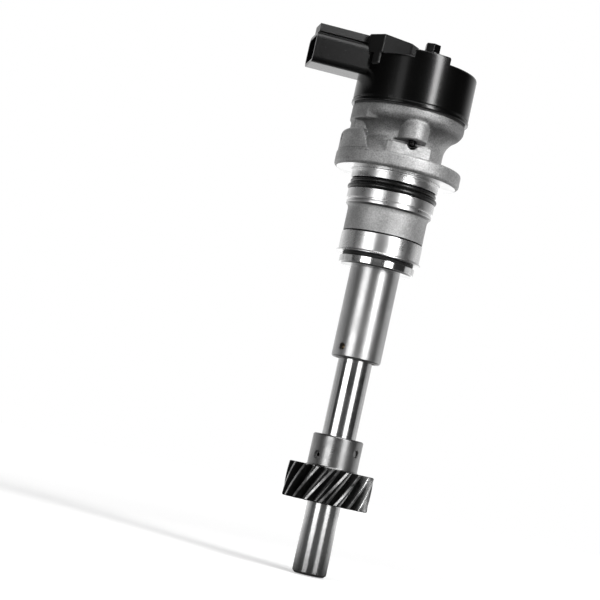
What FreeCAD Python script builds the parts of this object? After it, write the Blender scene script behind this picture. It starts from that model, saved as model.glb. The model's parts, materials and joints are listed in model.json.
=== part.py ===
"""Camshaft synchronizer: a flanged housing with a driven shaft and a cam position sensor on top.

Millimetres. The origin is the centre of the flange's underside, which seats on the engine.
+Z runs up the shaft's axis towards the sensor, and the sensor's connector points along -X.
"""
import FreeCAD, Part
import math
import os

from FreeCAD import Vector

# Fits
RUNNING_GAP = 0.025
SLIP_GAP = 0.15
END_PLAY = 0.2

# Shaft
SHAFT_R = 6.745
SHAFT_TIP_Z = -159.2
SHAFT_TIP_CHAMFER = 1.0
SHAFT_SHOULDER_Z = 11.1
SPIGOT_R = 5.0
SPIGOT_LENGTH = 7.4
SPIGOT_CHAMFER = 0.5
HEX_SOCKET_FLATS = 8.0
HEX_SOCKET_DEPTH = 18.0
DRILL_POINT_R = 0.8
JOURNAL_RELIEF_DEPTH = 0.4
JOURNAL_RELIEF_WIDTH = 1.6

# Drive gear: a crossed helical gear with a pinned hub
GEAR_TEETH = 18
GEAR_MODULE = 1.49
GEAR_HELIX_DEG = 30.0
GEAR_PRESSURE_DEG = 20.0
GEAR_BOTTOM_Z = -131.0
GEAR_WIDTH = 13.8
GEAR_END_BEVEL = 0.9
TOOTH_THINNING = 0.96
FLANK_POINTS = 3
ROOT_SHARE = 0.72
HELIX_SECTIONS = 4
GEAR_OVERRUN = 1.0
HUB_R = 9.95
HUB_HEIGHT = 12.6
HUB_TOP_CHAMFER = 0.6
HUB_FOOT_CHAMFER = 0.6

# Pins through the hub
ROLL_PIN_R = 1.5875
ROLL_PIN_BORE_R = 0.75
ROLL_PIN_SLOT = 0.5
ROLL_PIN_ABOVE_GEAR = 4.3
ROLL_PIN_AZIMUTH = 216.0
LOCK_PIN_R = 1.4
LOCK_PIN_ABOVE_GEAR = 7.5
LOCK_PIN_AZIMUTH = 312.0
PIN_RECESS = 0.7
PIN_HOLE_CHAMFER = 0.3

# Stem, the long tube of the housing
STEM_R = 9.8
STEM_BOTTOM_Z = -74.0
STEM_CHAMFER = 0.6
OIL_HOLE_R = 1.35
OIL_HOLE_ABOVE_STEM_END = 4.1
OIL_HOLE_AZIMUTH = 218.0
OIL_GALLERY_R = 7.95

# Rings, bands and pilot of the housing
LOWER_RING_R = 14.96
LOWER_RING_Z = -37.6
LOWER_RING_HEIGHT = 3.2
RING_GROOVE_R = 14.2
RING_GROOVE_HEIGHT = 1.2
THIN_FLANGE_R = 16.9
THIN_FLANGE_HEIGHT = 1.2
LOWER_BAND_R = 16.15
CAST_BAND_Z = -24.7
CAST_BAND_R = 15.9
CAST_FLARE_Z = -15.7
LIP_R = 17.05
LIP_Z = -13.7
LIP_TOP_Z = -12.5
LIP_GROOVE_R = 16.5
LIP_GROOVE_HEIGHT = 0.8
PILOT_R = 17.35
SEAL_GROOVE_R = 14.9
SEAL_GROOVE_Z = -8.0
SEAL_GROOVE_HEIGHT = 4.5
SHOULDER_R = 17.8
SHOULDER_HEIGHT = 0.8

# Seal ring in the pilot's groove, with two lobes
SEAL_SIDE_GAP = 0.1
SEAL_CORNER = 0.6
SEAL_LOWER_REACH = 0.55
SEAL_UPPER_REACH = 0.15

# Mounting flange
FLANGE_R = 25.1
FLANGE_THICKNESS = 6.2
FLANGE_EDGE_CHAMFER = 0.9
FLANGE_TOP_ROUND = 0.8

# Neck and bell of the housing
NECK_R = 16.4
NECK_TOP_Z = 12.0
NECK_FLARE_MID = (18.1, 16.9)
BELL_WAIST_R = 20.6
BELL_WAIST_Z = 19.1
BELL_FLARE_MID = (21.9, 20.6)
BELL_R = 22.6
BELL_SHOULDER_Z = 22.3
BELL_TOP_Z = 25.0
BOWL_FLOOR_R = 14.7
BOWL_FLOOR_Z = 13.2
BOWL_RIM_R = 19.6
BOWL_FLARE_Z = 16.0
BOWL_RIM_Z = 21.5
BOWL_COLUMN_R = 4.6
WELL_R = 9.8
WELL_FLOOR_Z = 8.5

# Screw bosses and the pads below them, on both sides
SCREW_RADIUS = 17.4
BOSS_R = 5.6
BOSS_DOME_Z = 20.6
BOSS_DOME_ROUND = 2.4
PAD_REACH = 19.0
PAD_END_X = 8.4
PAD_END_CHAMFER = 0.8
PAD_TOP_Z = 11.2
PAD_BLEND = [(15.2, 6.0), (13.0, 11.2), (11.8, 14.0), (10.8, 16.2), (9.6, 17.8), (8.0, 18.7), (5.0, 19.0)]
WEB_BLEND = [(15.2, 6.0), (11.8, 11.6), (9.2, 14.0), (7.0, 15.7), (4.8, 17.0)]
WEB_TOP_Z = 17.0
CLEARANCE_CUT_HEIGHT = 1.7
CLEARANCE_CUT_DEPTH = 14.9
TIP_POCKET_R = 2.4

# Stepped casting on the connector's side, with plans of one half as distances from the axis
BLOCK_R = 24.75
BLOCK_TOP_Z = 14.6
BLOCK_ROUND = 2.4
BLOCK_PLAN = [(15.6, 4.5), (18.6, 9.6), (16.6, 18.6)]
BLOCK_END_PEAK = Vector(-19.2, -15.9, 13.7)
STEP_R = 21.9
STEP_PLAN = [(15.2, 3.0), (17.4, 5.6), (21.6, 4.4)]
LUG_LOW_Z = 18.5
LUG_PLAN = [(10.0, 9.7), (15.2, 14.8), (19.1, 12.06)]
DRAIN_HOLE_R = 1.35
DRAIN_HOLE_Z = 11.0

# Bushings
BUSHING_WALL = 1.4
UPPER_BUSHING_Z = -12.0
LOWER_BUSHING_INSET = 0.6
LOWER_BUSHING_LENGTH = 15.0
BUSHING_HEAD_R = 9.0
BUSHING_HEAD_HEIGHT = 1.5

# Thrust washers and retaining ring
WASHER_SEAT_GAP = 0.01
WASHER_THICKNESS = 0.9
WASHER_R = 8.9
LOWER_WASHER_R = 7.75
RETAINER_R = 7.7
RETAINER_DEPTH = 0.6
RETAINER_THICKNESS = 1.1
RETAINER_GAP_DEG = 40.0

# Rotating shutter
VANE_HUB_R = 8.6
VANE_HUB_HEIGHT = 5.4
VANE_COLLAR_R = 6.6
VANE_COLLAR_HEIGHT = 1.6
VANE_R = 12.6
VANE_THICKNESS = 1.0
VANE_TOP_Z = 34.6
VANE_HALF_SPAN = 92.0
VANE_AZIMUTH = 0.0

# Sensor base: the ring on the bell with the shutter's channel
GASKET_THICKNESS = 0.6
GASKET_R = 22.3
GASKET_BORE_R = 20.0
GASKET_EAR_R = 4.4
BASE_R = 23.5
BASE_THICKNESS = 1.4
CHANNEL_INNER_R = 10.5
CHANNEL_OUTER_R = 13.6
CHANNEL_ROOF_Z = 36.0
CHANNEL_WALL = 0.8

# Sensor cap, a small step inside its base
CAP_STEP = 0.2
CAP_R = BASE_R - CAP_STEP
CAP_WALL = 2.0
CAP_GROOVE_R = 22.8
CAP_GROOVE_HEIGHT = 0.5
CAP_TOP_Z = 44.8
CAP_TOP_ROUND = 1.3
CAP_COLUMN_R = 4.6
CAP_PAD_HALF_WIDTH = 7.1
CAP_PAD_TOP_Z = 47.6
CAP_PAD_INNER = 11.5
CAP_PAD_CHAMFER = 0.9

# Raised neck block on the cap, as half of its outline from the connector inwards
NECK_BLOCK_TOP_Z = 51.8
NECK_BLOCK_LOW_Z = 44.3
NECK_BLOCK_CHAMFER = 0.8
NECK_BLOCK_NOSE = (23.55, 8.3)
NECK_BLOCK_SHOULDER = (19.0, 14.9)
NECK_BLOCK_BACK = (6.6, 9.8)
NECK_BLOCK_TAIL = (2.8, 4.8)
NECK_TAB_LOW_Z = 39.7
NECK_TAB_PLAN = [(19.6, 9.6), (21.6, 11.1), (19.3, 14.4), (17.4, 12.9)]
NECK_TAB_ROUND = 0.8

# Connector
SHROUD_MOUTH_X = -44.1
SHROUD_ROOT_X = -19.0
SHROUD_HALF_WIDTH = 8.9
SHROUD_LOW_Z = 35.6
SHROUD_TOP_Z = 47.7
SHROUD_ROUND = 2.8
SHROUD_WALL = 1.3
SOCKET_DEPTH = 16.0
RAIL_END_X = -23.0
RAIL_HALF_WIDTH = 5.2
RAIL_TOP_Z = 51.8
RAIL_GROOVE_HEIGHT = 0.9
RAIL_GROOVE_DEPTH = 1.2
RAIL_ROUND = 0.7
MOUTH_STEP = 0.9

# Terminals
TERMINAL_COUNT = 3
TERMINAL_Z = 40.3
TERMINAL_PITCH = 4.6
TERMINAL_WIDTH = 1.5
TERMINAL_THICKNESS = 0.64
TERMINAL_TIP_X = -39.5
TERMINAL_TIP_CHAMFER = 0.25
TERMINAL_FOOT_X = -17.5
TERMINAL_FOOT_PROUD = 0.8

# Circuit board and what it carries
BOARD_R = 19.6
BOARD_Z = 38.6
BOARD_THICKNESS = 1.2
BOARD_NOTCH_R = 5.4
HALL_WIDTH = 4.1
HALL_THICKNESS = 1.6
HALL_HEIGHT = 3.0
HALL_Z = 30.2
HALL_LEG = 0.4
HALL_LEG_PITCH = 1.27
HALL_GAP = 1.1
MAGNET_GAP = 0.1
MAGNET_THICKNESS = 3.0
MAGNET_HALF_WIDTH = 3.5
MAGNET_HEIGHT = 7.0
POLE_THICKNESS = 1.0

# Sensor screws and their sleeves
SCREW_R = 1.75
SCREW_TIP_Z = 10.6
SCREW_TIP_CHAMFER = 0.5
SCREW_HEAD_FLATS = 5.5
SCREW_HEAD_TURN_DEG = 27.0
SCREW_HEAD_TOP_Z = 51.7
SCREW_WASHER_R = 4.0
SCREW_WASHER_THICKNESS = 0.6
SCREW_WASHER_BEVEL = 0.4
SCREW_HEAD_ROUND = 0.4
SLEEVE_R = 2.9
SLEEVE_BORE_R = 2.0
SLEEVE_PROUD = 0.1

# Levels and places worked out from the sizes above
GEAR_TOP_Z = GEAR_BOTTOM_Z + GEAR_WIDTH
GEAR_TRANSVERSE = GEAR_MODULE / math.cos(math.radians(GEAR_HELIX_DEG))
GEAR_PITCH_R = GEAR_TEETH * GEAR_TRANSVERSE / 2
GEAR_TIP_R = GEAR_PITCH_R + GEAR_MODULE
GEAR_ROOT_R = GEAR_PITCH_R - 1.25 * GEAR_MODULE
GEAR_LEAD = 2 * math.pi * GEAR_PITCH_R / math.tan(math.radians(GEAR_HELIX_DEG))
BUSHING_BORE_R = SHAFT_R + RUNNING_GAP
BUSHING_R = BUSHING_BORE_R + BUSHING_WALL
UPPER_WASHER_Z = WELL_FLOOR_Z + BUSHING_HEAD_HEIGHT
VANE_HUB_Z = SHAFT_SHOULDER_Z
LOWER_WASHER_TOP_Z = UPPER_BUSHING_Z - WASHER_SEAT_GAP
RETAINER_TOP_Z = LOWER_WASHER_TOP_Z - WASHER_THICKNESS - END_PLAY
BASE_Z = BELL_TOP_Z + GASKET_THICKNESS
CAP_Z = BASE_Z + BASE_THICKNESS
CHANNEL_TOP_Z = CHANNEL_ROOF_Z + CHANNEL_WALL
CAP_INNER_R = CAP_R - CAP_WALL
CAP_CEILING_Z = CAP_TOP_Z - CAP_WALL
BOSS_BOTTOM_Z = PAD_TOP_Z + CLEARANCE_CUT_HEIGHT
SLEEVE_TOP_Z = CAP_PAD_TOP_Z + SLEEVE_PROUD


def cylinder(radius, low, high, x=0.0, y=0.0):
    """An upright cylinder between two levels."""
    return Part.makeCylinder(radius, high - low, Vector(x, y, low))


def tube(inner, outer, low, high):
    """An upright ring on the shaft's axis."""
    return cylinder(outer, low, high).cut(cylinder(inner, low - 1, high + 1))


def box(x0, x1, y0, y1, z0, z1):
    """A block between two corners."""
    return Part.makeBox(x1 - x0, y1 - y0, z1 - z0, Vector(x0, y0, z0))


def prism(points, low, high):
    """An upright prism over a closed outline of (x, y) points."""
    corners = [Vector(x, y, low) for x, y in points]
    face = Part.Face(Part.makePolygon(corners + corners[:1]))
    return face.extrude(Vector(0, 0, high - low))


def hexagon(flats, low, high):
    """An upright hexagonal prism, given its size across flats."""
    corner = flats / math.sqrt(3)
    turns = [math.radians(60 * i) for i in range(6)]
    return prism([(corner * math.cos(t), corner * math.sin(t)) for t in turns], low, high)


def sector(radius, low, high, middle_deg, half_span_deg):
    """A wedge of a cylinder, centred on an azimuth."""
    wedge = Part.makeCylinder(radius, high - low, Vector(0, 0, low), Vector(0, 0, 1), 2 * half_span_deg)
    wedge.rotate(Vector(0, 0, 0), Vector(0, 0, 1), middle_deg - half_span_deg)
    return wedge


def radial_cylinder(radius, azimuth_deg, level, start, end):
    """A level cylinder that points away from the axis at an azimuth."""
    turn = math.radians(azimuth_deg)
    way = Vector(math.cos(turn), math.sin(turn), 0)
    return Part.makeCylinder(radius, end - start, way * start + Vector(0, 0, level), way)


def on_side(points, side):
    """An outline's (x, y) corners, mirrored to the +Y side if asked."""
    return [(x, side * y) for x, y in points]


def revolved(path):
    """A solid of revolution about Z. Each step is (r, z), or (r, z, via_r, via_z) for an arc."""
    edges = []
    here = Vector(path[0][0], 0, path[0][1])
    for step in path[1:] + path[:1]:
        there = Vector(step[0], 0, step[1])
        if len(step) == 4:
            edges.append(Part.Arc(here, Vector(step[2], 0, step[3]), there).toShape())
        else:
            edges.append(Part.makeLine(here, there))
        here = there
    face = Part.Face(Part.Wire(edges))
    return face.revolve(Vector(0, 0, 0), Vector(0, 0, 1), 360)


def edges_where(shape, test):
    """The edges of a shape whose every vertex passes a test, seams left out."""
    found = []
    for edge in shape.Edges:
        if edge.Vertexes and all(test(vertex.Point) for vertex in edge.Vertexes):
            found.append(edge)
    return found


def at_level(z):
    """A test for points that lie at one level."""
    return lambda point: abs(point.z - z) < 1e-4


def both_sides(shape):
    """A shape and its copy turned half round the axis, as one."""
    copy = shape.copy()
    copy.rotate(Vector(0, 0, 0), Vector(0, 0, 1), 180)
    return shape.fuse(copy)


def pair(shape):
    """A shape and its copy turned half round the axis, as two solids."""
    copy = shape.copy()
    copy.rotate(Vector(0, 0, 0), Vector(0, 0, 1), 180)
    return Part.makeCompound([shape, copy])


def hex_socket():
    """The drive socket in the shaft's lower end, with a drilled cone at its floor."""
    socket = hexagon(HEX_SOCKET_FLATS, SHAFT_TIP_Z - 1, SHAFT_TIP_Z + HEX_SOCKET_DEPTH)
    floor = SHAFT_TIP_Z + HEX_SOCKET_DEPTH
    cone = Part.makeCone(HEX_SOCKET_FLATS / 2, DRILL_POINT_R, HEX_SOCKET_FLATS / 4, Vector(0, 0, floor))
    return socket.fuse(cone)


def hub_pin_hole(radius, azimuth, level):
    """A cross hole for a pin, with a small chamfer at both mouths."""
    hole = radial_cylinder(radius, azimuth, level, -HUB_R - 1, HUB_R + 1)
    for way in (azimuth, azimuth + 180):
        turn = math.radians(way)
        out = Vector(math.cos(turn), math.sin(turn), 0)
        start = out * (HUB_R - PIN_HOLE_CHAMFER) + Vector(0, 0, level)
        flare = radius + PIN_HOLE_CHAMFER + 1
        hole = hole.fuse(Part.makeCone(radius, flare, PIN_HOLE_CHAMFER + 1, start, out))
    return hole


def pin_holes():
    """Both cross holes, which the gear's hub and the shaft share."""
    roll = hub_pin_hole(ROLL_PIN_R, ROLL_PIN_AZIMUTH, GEAR_TOP_Z + ROLL_PIN_ABOVE_GEAR)
    lock = hub_pin_hole(LOCK_PIN_R, LOCK_PIN_AZIMUTH, GEAR_TOP_Z + LOCK_PIN_ABOVE_GEAR)
    return roll, lock


def make_shaft():
    """The ground shaft, with its spigot, ring groove, relief at the gear's lower face, cross holes and hex socket."""
    top = SHAFT_SHOULDER_Z + SPIGOT_LENGTH
    groove_r = SHAFT_R - RETAINER_DEPTH
    groove_low = RETAINER_TOP_Z - RETAINER_THICKNESS
    relief_r = SHAFT_R - JOURNAL_RELIEF_DEPTH
    relief_low = GEAR_BOTTOM_Z - JOURNAL_RELIEF_DEPTH
    body = revolved([
        (0, SHAFT_TIP_Z),
        (SHAFT_R - SHAFT_TIP_CHAMFER, SHAFT_TIP_Z),
        (SHAFT_R, SHAFT_TIP_Z + SHAFT_TIP_CHAMFER),
        (SHAFT_R, relief_low),
        (relief_r, relief_low),
        (relief_r, relief_low + JOURNAL_RELIEF_WIDTH),
        (SHAFT_R, relief_low + JOURNAL_RELIEF_WIDTH),
        (SHAFT_R, groove_low),
        (groove_r, groove_low),
        (groove_r, RETAINER_TOP_Z),
        (SHAFT_R, RETAINER_TOP_Z),
        (SHAFT_R, SHAFT_SHOULDER_Z),
        (SPIGOT_R, SHAFT_SHOULDER_Z),
        (SPIGOT_R, top - SPIGOT_CHAMFER),
        (SPIGOT_R - SPIGOT_CHAMFER, top),
        (0, top),
    ])
    roll, lock = pin_holes()
    return body.cut(hex_socket()).cut(roll).cut(lock)


def involute(base_r, radius):
    """The polar angle of an involute where it reaches a radius."""
    roll = math.sqrt(max((radius / base_r) ** 2 - 1, 0))
    return roll - math.atan(roll)


def tooth_space():
    """The face of one gap between teeth in the transverse plane, open past the tip circle."""
    pressure = math.atan(math.tan(math.radians(GEAR_PRESSURE_DEG)) / math.cos(math.radians(GEAR_HELIX_DEG)))
    base_r = GEAR_PITCH_R * math.cos(pressure)
    half_space = math.pi / GEAR_TEETH * (1 - TOOTH_THINNING / 2)
    offset = half_space - involute(base_r, GEAR_PITCH_R)
    foot_r = max(base_r, GEAR_ROOT_R)
    over_r = GEAR_TIP_R + GEAR_MODULE / 4
    radii = [foot_r + (over_r - foot_r) * i / (FLANK_POINTS - 1) for i in range(FLANK_POINTS)]
    flank = [(r, offset + involute(base_r, r)) for r in radii]
    right = [Vector(r * math.cos(a), -r * math.sin(a), 0) for r, a in flank]
    left = [Vector(point.x, -point.y, 0) for point in right]
    root_half = flank[0][1] * ROOT_SHARE
    root_right = Vector(GEAR_ROOT_R * math.cos(root_half), -GEAR_ROOT_R * math.sin(root_half), 0)
    root_left = Vector(root_right.x, -root_right.y, 0)
    return Part.makePolygon(right + left[::-1] + [root_left, root_right, right[0]])


def helical_space():
    """One gap between teeth, lofted through sections that turn along the gear's right-hand helix."""
    length = GEAR_WIDTH + 2 * GEAR_OVERRUN
    sections = []
    for i in range(HELIX_SECTIONS):
        rise = length * i / (HELIX_SECTIONS - 1)
        section = tooth_space()
        section.rotate(Vector(0, 0, 0), Vector(0, 0, 1), 360 * rise / GEAR_LEAD)
        section.translate(Vector(0, 0, GEAR_BOTTOM_Z - GEAR_OVERRUN + rise))
        sections.append(section)
    return Part.makeLoft(sections, True, False)


def make_drive_gear():
    """The helical gear and its hub in one piece: a turned blank with the tooth gaps cut out of it."""
    hub_top = GEAR_TOP_Z + HUB_HEIGHT
    bevel_r = GEAR_TIP_R - GEAR_END_BEVEL
    blank = revolved([
        (SHAFT_R, GEAR_BOTTOM_Z),
        (bevel_r, GEAR_BOTTOM_Z),
        (GEAR_TIP_R, GEAR_BOTTOM_Z + GEAR_END_BEVEL / 2),
        (GEAR_TIP_R, GEAR_TOP_Z - GEAR_END_BEVEL / 2),
        (bevel_r, GEAR_TOP_Z),
        (HUB_R + HUB_FOOT_CHAMFER, GEAR_TOP_Z),
        (HUB_R, GEAR_TOP_Z + HUB_FOOT_CHAMFER),
        (HUB_R, hub_top - HUB_TOP_CHAMFER),
        (HUB_R - HUB_TOP_CHAMFER, hub_top),
        (SHAFT_R, hub_top),
    ])
    gap = helical_space()
    gaps = []
    for i in range(GEAR_TEETH):
        cutter = gap.copy()
        cutter.rotate(Vector(0, 0, 0), Vector(0, 0, 1), 360 * i / GEAR_TEETH)
        gaps.append(cutter)
    roll, lock = pin_holes()
    return blank.cut(gaps).cut(roll).cut(lock)


def make_roll_pin():
    """The rolled spring pin: a slit tube that locks the hub to the shaft."""
    level = GEAR_TOP_Z + ROLL_PIN_ABOVE_GEAR
    reach = HUB_R - PIN_RECESS
    pin = radial_cylinder(ROLL_PIN_R, 0, level, -reach, reach)
    pin = pin.cut(radial_cylinder(ROLL_PIN_BORE_R, 0, level, -reach - 1, reach + 1))
    slot = box(-reach - 1, reach + 1, -ROLL_PIN_SLOT / 2, ROLL_PIN_SLOT / 2, level, level + ROLL_PIN_R + 1)
    pin = pin.cut(slot)
    pin.rotate(Vector(0, 0, 0), Vector(0, 0, 1), ROLL_PIN_AZIMUTH)
    return pin


def make_lock_pin():
    """The solid pin in the second cross hole."""
    level = GEAR_TOP_Z + LOCK_PIN_ABOVE_GEAR
    reach = HUB_R - PIN_RECESS
    pin = radial_cylinder(LOCK_PIN_R, LOCK_PIN_AZIMUTH, level, -reach, reach)
    return pin.makeChamfer(PIN_HOLE_CHAMFER, pin.Edges[0:1] + pin.Edges[2:3])


def housing_outline():
    """The turned form of the housing, from the stem's end up to the bell's rim."""
    groove_top = LOWER_RING_Z + LOWER_RING_HEIGHT + RING_GROOVE_HEIGHT
    band_low = groove_top + THIN_FLANGE_HEIGHT
    seal_top = SEAL_GROOVE_Z + SEAL_GROOVE_HEIGHT
    lip_groove_top = LIP_TOP_Z + LIP_GROOVE_HEIGHT
    return [
        (0, STEM_BOTTOM_Z),
        (STEM_R - STEM_CHAMFER, STEM_BOTTOM_Z),
        (STEM_R, STEM_BOTTOM_Z + STEM_CHAMFER),
        (STEM_R, LOWER_RING_Z),
        (LOWER_RING_R - STEM_CHAMFER, LOWER_RING_Z),
        (LOWER_RING_R, LOWER_RING_Z + STEM_CHAMFER),
        (LOWER_RING_R, LOWER_RING_Z + LOWER_RING_HEIGHT),
        (RING_GROOVE_R, LOWER_RING_Z + LOWER_RING_HEIGHT),
        (RING_GROOVE_R, groove_top),
        (THIN_FLANGE_R, groove_top),
        (THIN_FLANGE_R, band_low),
        (LOWER_BAND_R, band_low),
        (LOWER_BAND_R, CAST_BAND_Z),
        (CAST_BAND_R, CAST_BAND_Z),
        (CAST_BAND_R, CAST_FLARE_Z),
        (LIP_R, LIP_Z),
        (LIP_R, LIP_TOP_Z),
        (LIP_GROOVE_R, LIP_TOP_Z),
        (LIP_GROOVE_R, lip_groove_top),
        (PILOT_R, lip_groove_top),
        (PILOT_R, SEAL_GROOVE_Z),
        (SEAL_GROOVE_R, SEAL_GROOVE_Z),
        (SEAL_GROOVE_R, seal_top),
        (PILOT_R, seal_top),
        (PILOT_R, -SHOULDER_HEIGHT),
        (SHOULDER_R, -SHOULDER_HEIGHT),
        (SHOULDER_R, 0),
        (FLANGE_R - FLANGE_EDGE_CHAMFER, 0),
        (FLANGE_R, FLANGE_EDGE_CHAMFER),
        (FLANGE_R, FLANGE_THICKNESS - FLANGE_TOP_ROUND),
        (FLANGE_R - FLANGE_TOP_ROUND, FLANGE_THICKNESS),
        (NECK_R, FLANGE_THICKNESS),
        (NECK_R, NECK_TOP_Z),
        (BELL_WAIST_R, BELL_WAIST_Z, *NECK_FLARE_MID),
        (BELL_R, BELL_SHOULDER_Z, *BELL_FLARE_MID),
        (BELL_R, BELL_TOP_Z),
        (0, BELL_TOP_Z),
    ]


def screw_boss():
    """A domed boss on the bell that takes one sensor screw."""
    boss = cylinder(BOSS_R, BOSS_BOTTOM_Z, BOSS_DOME_Z, 0, -SCREW_RADIUS)
    return boss.makeFillet(BOSS_DOME_ROUND, edges_where(boss, at_level(BOSS_DOME_Z)))


def flange_pad():
    """The pad on the flange below a screw boss, and the web that blends it and the boss into the neck."""
    pad = prism([(-x, -y) for x, y in PAD_BLEND] + [
        (PAD_END_X - PAD_END_CHAMFER, -PAD_REACH),
        (PAD_END_X, -PAD_REACH + PAD_END_CHAMFER),
        (PAD_END_X, 0),
    ], FLANGE_THICKNESS / 2, PAD_TOP_Z)
    web = prism([(-x, -y) for x, y in WEB_BLEND] + [(0, -SCREW_RADIUS), (0, 0)], FLANGE_THICKNESS / 2, WEB_TOP_Z)
    return pad.fuse(web)


def clearance_cut():
    """The level cut between a screw boss and its pad, with a round pocket in the pad for the screw's tip."""
    cut = box(-FLANGE_R, FLANGE_R, -FLANGE_R, -CLEARANCE_CUT_DEPTH, PAD_TOP_Z, BOSS_BOTTOM_Z)
    return cut.fuse(Part.makeSphere(TIP_POCKET_R, Vector(0, -SCREW_RADIUS, PAD_TOP_Z)))


def outward_prism(plan, low, high):
    """A prism on the connector's side, from half of its plan, running outwards beyond the flange."""
    last = plan[-1]
    half = [(-x, -y) for x, y in plan] + [(-3 * last[0], -3 * last[1])]
    return prism(half + on_side(reversed(half), -1), low, high)


def block_end():
    """The space beyond the block's leaning end, over the flange."""
    inner, outer = (Vector(-x, -y, FLANGE_THICKNESS) for x, y in BLOCK_PLAN[1:])
    along = (inner - outer).normalize()
    away = along.cross(BLOCK_END_PEAK - outer).normalize()
    across = away.cross(along)
    steps = [(-1, -1), (1, -1), (1, 1), (-1, 1)]
    corners = [outer + (along * i + across * j) * 2 * FLANGE_R for i, j in steps]
    beyond = Part.Face(Part.makePolygon(corners + corners[:1])).extrude(away * 2 * FLANGE_R)
    reach = 2 * FLANGE_R
    return beyond.common(box(-reach, reach, -reach, inner.y, FLANGE_THICKNESS, reach))


def low_block():
    """The low block on the flange, rounded along its top and leaning in at its two ends."""
    block = cylinder(BLOCK_R, FLANGE_THICKNESS / 2, BLOCK_TOP_Z)
    block = block.makeFillet(BLOCK_ROUND, edges_where(block, at_level(BLOCK_TOP_Z)))
    block = block.common(outward_prism(BLOCK_PLAN, 0, BLOCK_TOP_Z))
    end = block_end()
    return block.cut(end).cut(end.mirror(Vector(0, 0, 0), Vector(0, 1, 0)))


def stepped_block():
    """The stepped casting under the connector: a low block, a narrow step and the bell's lug."""
    step = cylinder(STEP_R, FLANGE_THICKNESS, LUG_LOW_Z + 1)
    step = step.common(outward_prism(STEP_PLAN, 0, LUG_LOW_Z + 1))
    lug = cylinder(BELL_R, LUG_LOW_Z, BELL_TOP_Z)
    return low_block().fuse([step, lug.common(outward_prism(LUG_PLAN, 0, BELL_TOP_Z))])


def bowl():
    """The space in the bell where the shutter turns, with the screw columns left standing in it."""
    cavity = revolved([
        (0, BOWL_FLOOR_Z),
        (BOWL_FLOOR_R, BOWL_FLOOR_Z),
        (BOWL_FLOOR_R, BOWL_FLARE_Z),
        (BOWL_RIM_R, BOWL_RIM_Z),
        (BOWL_RIM_R, BELL_TOP_Z + 1),
        (0, BELL_TOP_Z + 1),
    ])
    column = cylinder(BOWL_COLUMN_R, BOWL_FLOOR_Z - 1, BELL_TOP_Z + 2, 0, -SCREW_RADIUS)
    return cavity.cut(both_sides(column)).fuse(cylinder(WELL_R, WELL_FLOOR_Z, BOWL_FLOOR_Z + 1))


def oil_hole():
    """The radial oil hole through the stem and the lower bushing."""
    level = STEM_BOTTOM_Z + OIL_HOLE_ABOVE_STEM_END
    return radial_cylinder(OIL_HOLE_R, OIL_HOLE_AZIMUTH, level, SHAFT_R - 1, STEM_R + 1)


def lower_bushing_levels():
    """The lower bushing's bottom and top levels."""
    low = STEM_BOTTOM_Z + LOWER_BUSHING_INSET
    return low, low + LOWER_BUSHING_LENGTH


def make_housing():
    """The one-piece cast and turned housing."""
    body = revolved(housing_outline())
    body = body.fuse([both_sides(screw_boss()), both_sides(flange_pad())])
    body = body.cut(both_sides(clearance_cut())).fuse(stepped_block()).removeSplitter()
    low, high = lower_bushing_levels()
    bores = [
        cylinder(BUSHING_R, STEM_BOTTOM_Z - 1, high),
        cylinder(OIL_GALLERY_R, STEM_BOTTOM_Z, WELL_FLOOR_Z),
        cylinder(BUSHING_R, UPPER_BUSHING_Z, WELL_FLOOR_Z + 1),
        bowl(),
        both_sides(cylinder(SCREW_R, PAD_TOP_Z, BELL_TOP_Z + 1, 0, -SCREW_RADIUS)),
        radial_cylinder(DRAIN_HOLE_R, 180, DRAIN_HOLE_Z, WELL_R - 1, FLANGE_R + 1),
        oil_hole(),
    ]
    for bore in bores:
        body = body.cut(bore)
    return body


def make_seal_ring():
    """The rubber ring in the pilot's groove: a wide lower lobe and a narrower upper one."""
    inner = SEAL_GROOVE_R + SEAL_SIDE_GAP
    lower = PILOT_R + SEAL_LOWER_REACH
    upper = PILOT_R - SEAL_UPPER_REACH
    low = SEAL_GROOVE_Z + SEAL_SIDE_GAP
    high = SEAL_GROOVE_Z + SEAL_GROOVE_HEIGHT - SEAL_SIDE_GAP
    waist = (low + high) / 2
    return revolved([
        (inner, low),
        (lower - SEAL_CORNER, low),
        (lower, low + SEAL_CORNER),
        (lower, waist - SEAL_CORNER),
        (upper - SEAL_CORNER, waist),
        (upper, waist + SEAL_CORNER),
        (upper, high - SEAL_CORNER),
        (upper - SEAL_CORNER, high),
        (inner, high),
    ])


def make_upper_bushing():
    """The flanged bronze bushing in the neck."""
    body = cylinder(BUSHING_R, UPPER_BUSHING_Z, UPPER_WASHER_Z)
    head = cylinder(BUSHING_HEAD_R, WELL_FLOOR_Z, UPPER_WASHER_Z)
    return body.fuse(head).cut(cylinder(BUSHING_BORE_R, UPPER_BUSHING_Z - 1, UPPER_WASHER_Z + 1))


def make_lower_bushing():
    """The plain bronze bushing at the stem's end."""
    low, high = lower_bushing_levels()
    return tube(BUSHING_BORE_R, BUSHING_R, low, high).cut(oil_hole())


def make_upper_washer():
    """The thrust washer between the bushing's head and the shutter's hub."""
    low = UPPER_WASHER_Z + WASHER_SEAT_GAP
    return tube(SHAFT_R + SLIP_GAP, WASHER_R, low, UPPER_WASHER_Z + WASHER_THICKNESS)


def make_lower_washer():
    """The thrust washer under the upper bushing."""
    low = LOWER_WASHER_TOP_Z - WASHER_THICKNESS
    return tube(SHAFT_R + SLIP_GAP, LOWER_WASHER_R, low, LOWER_WASHER_TOP_Z)


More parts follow.
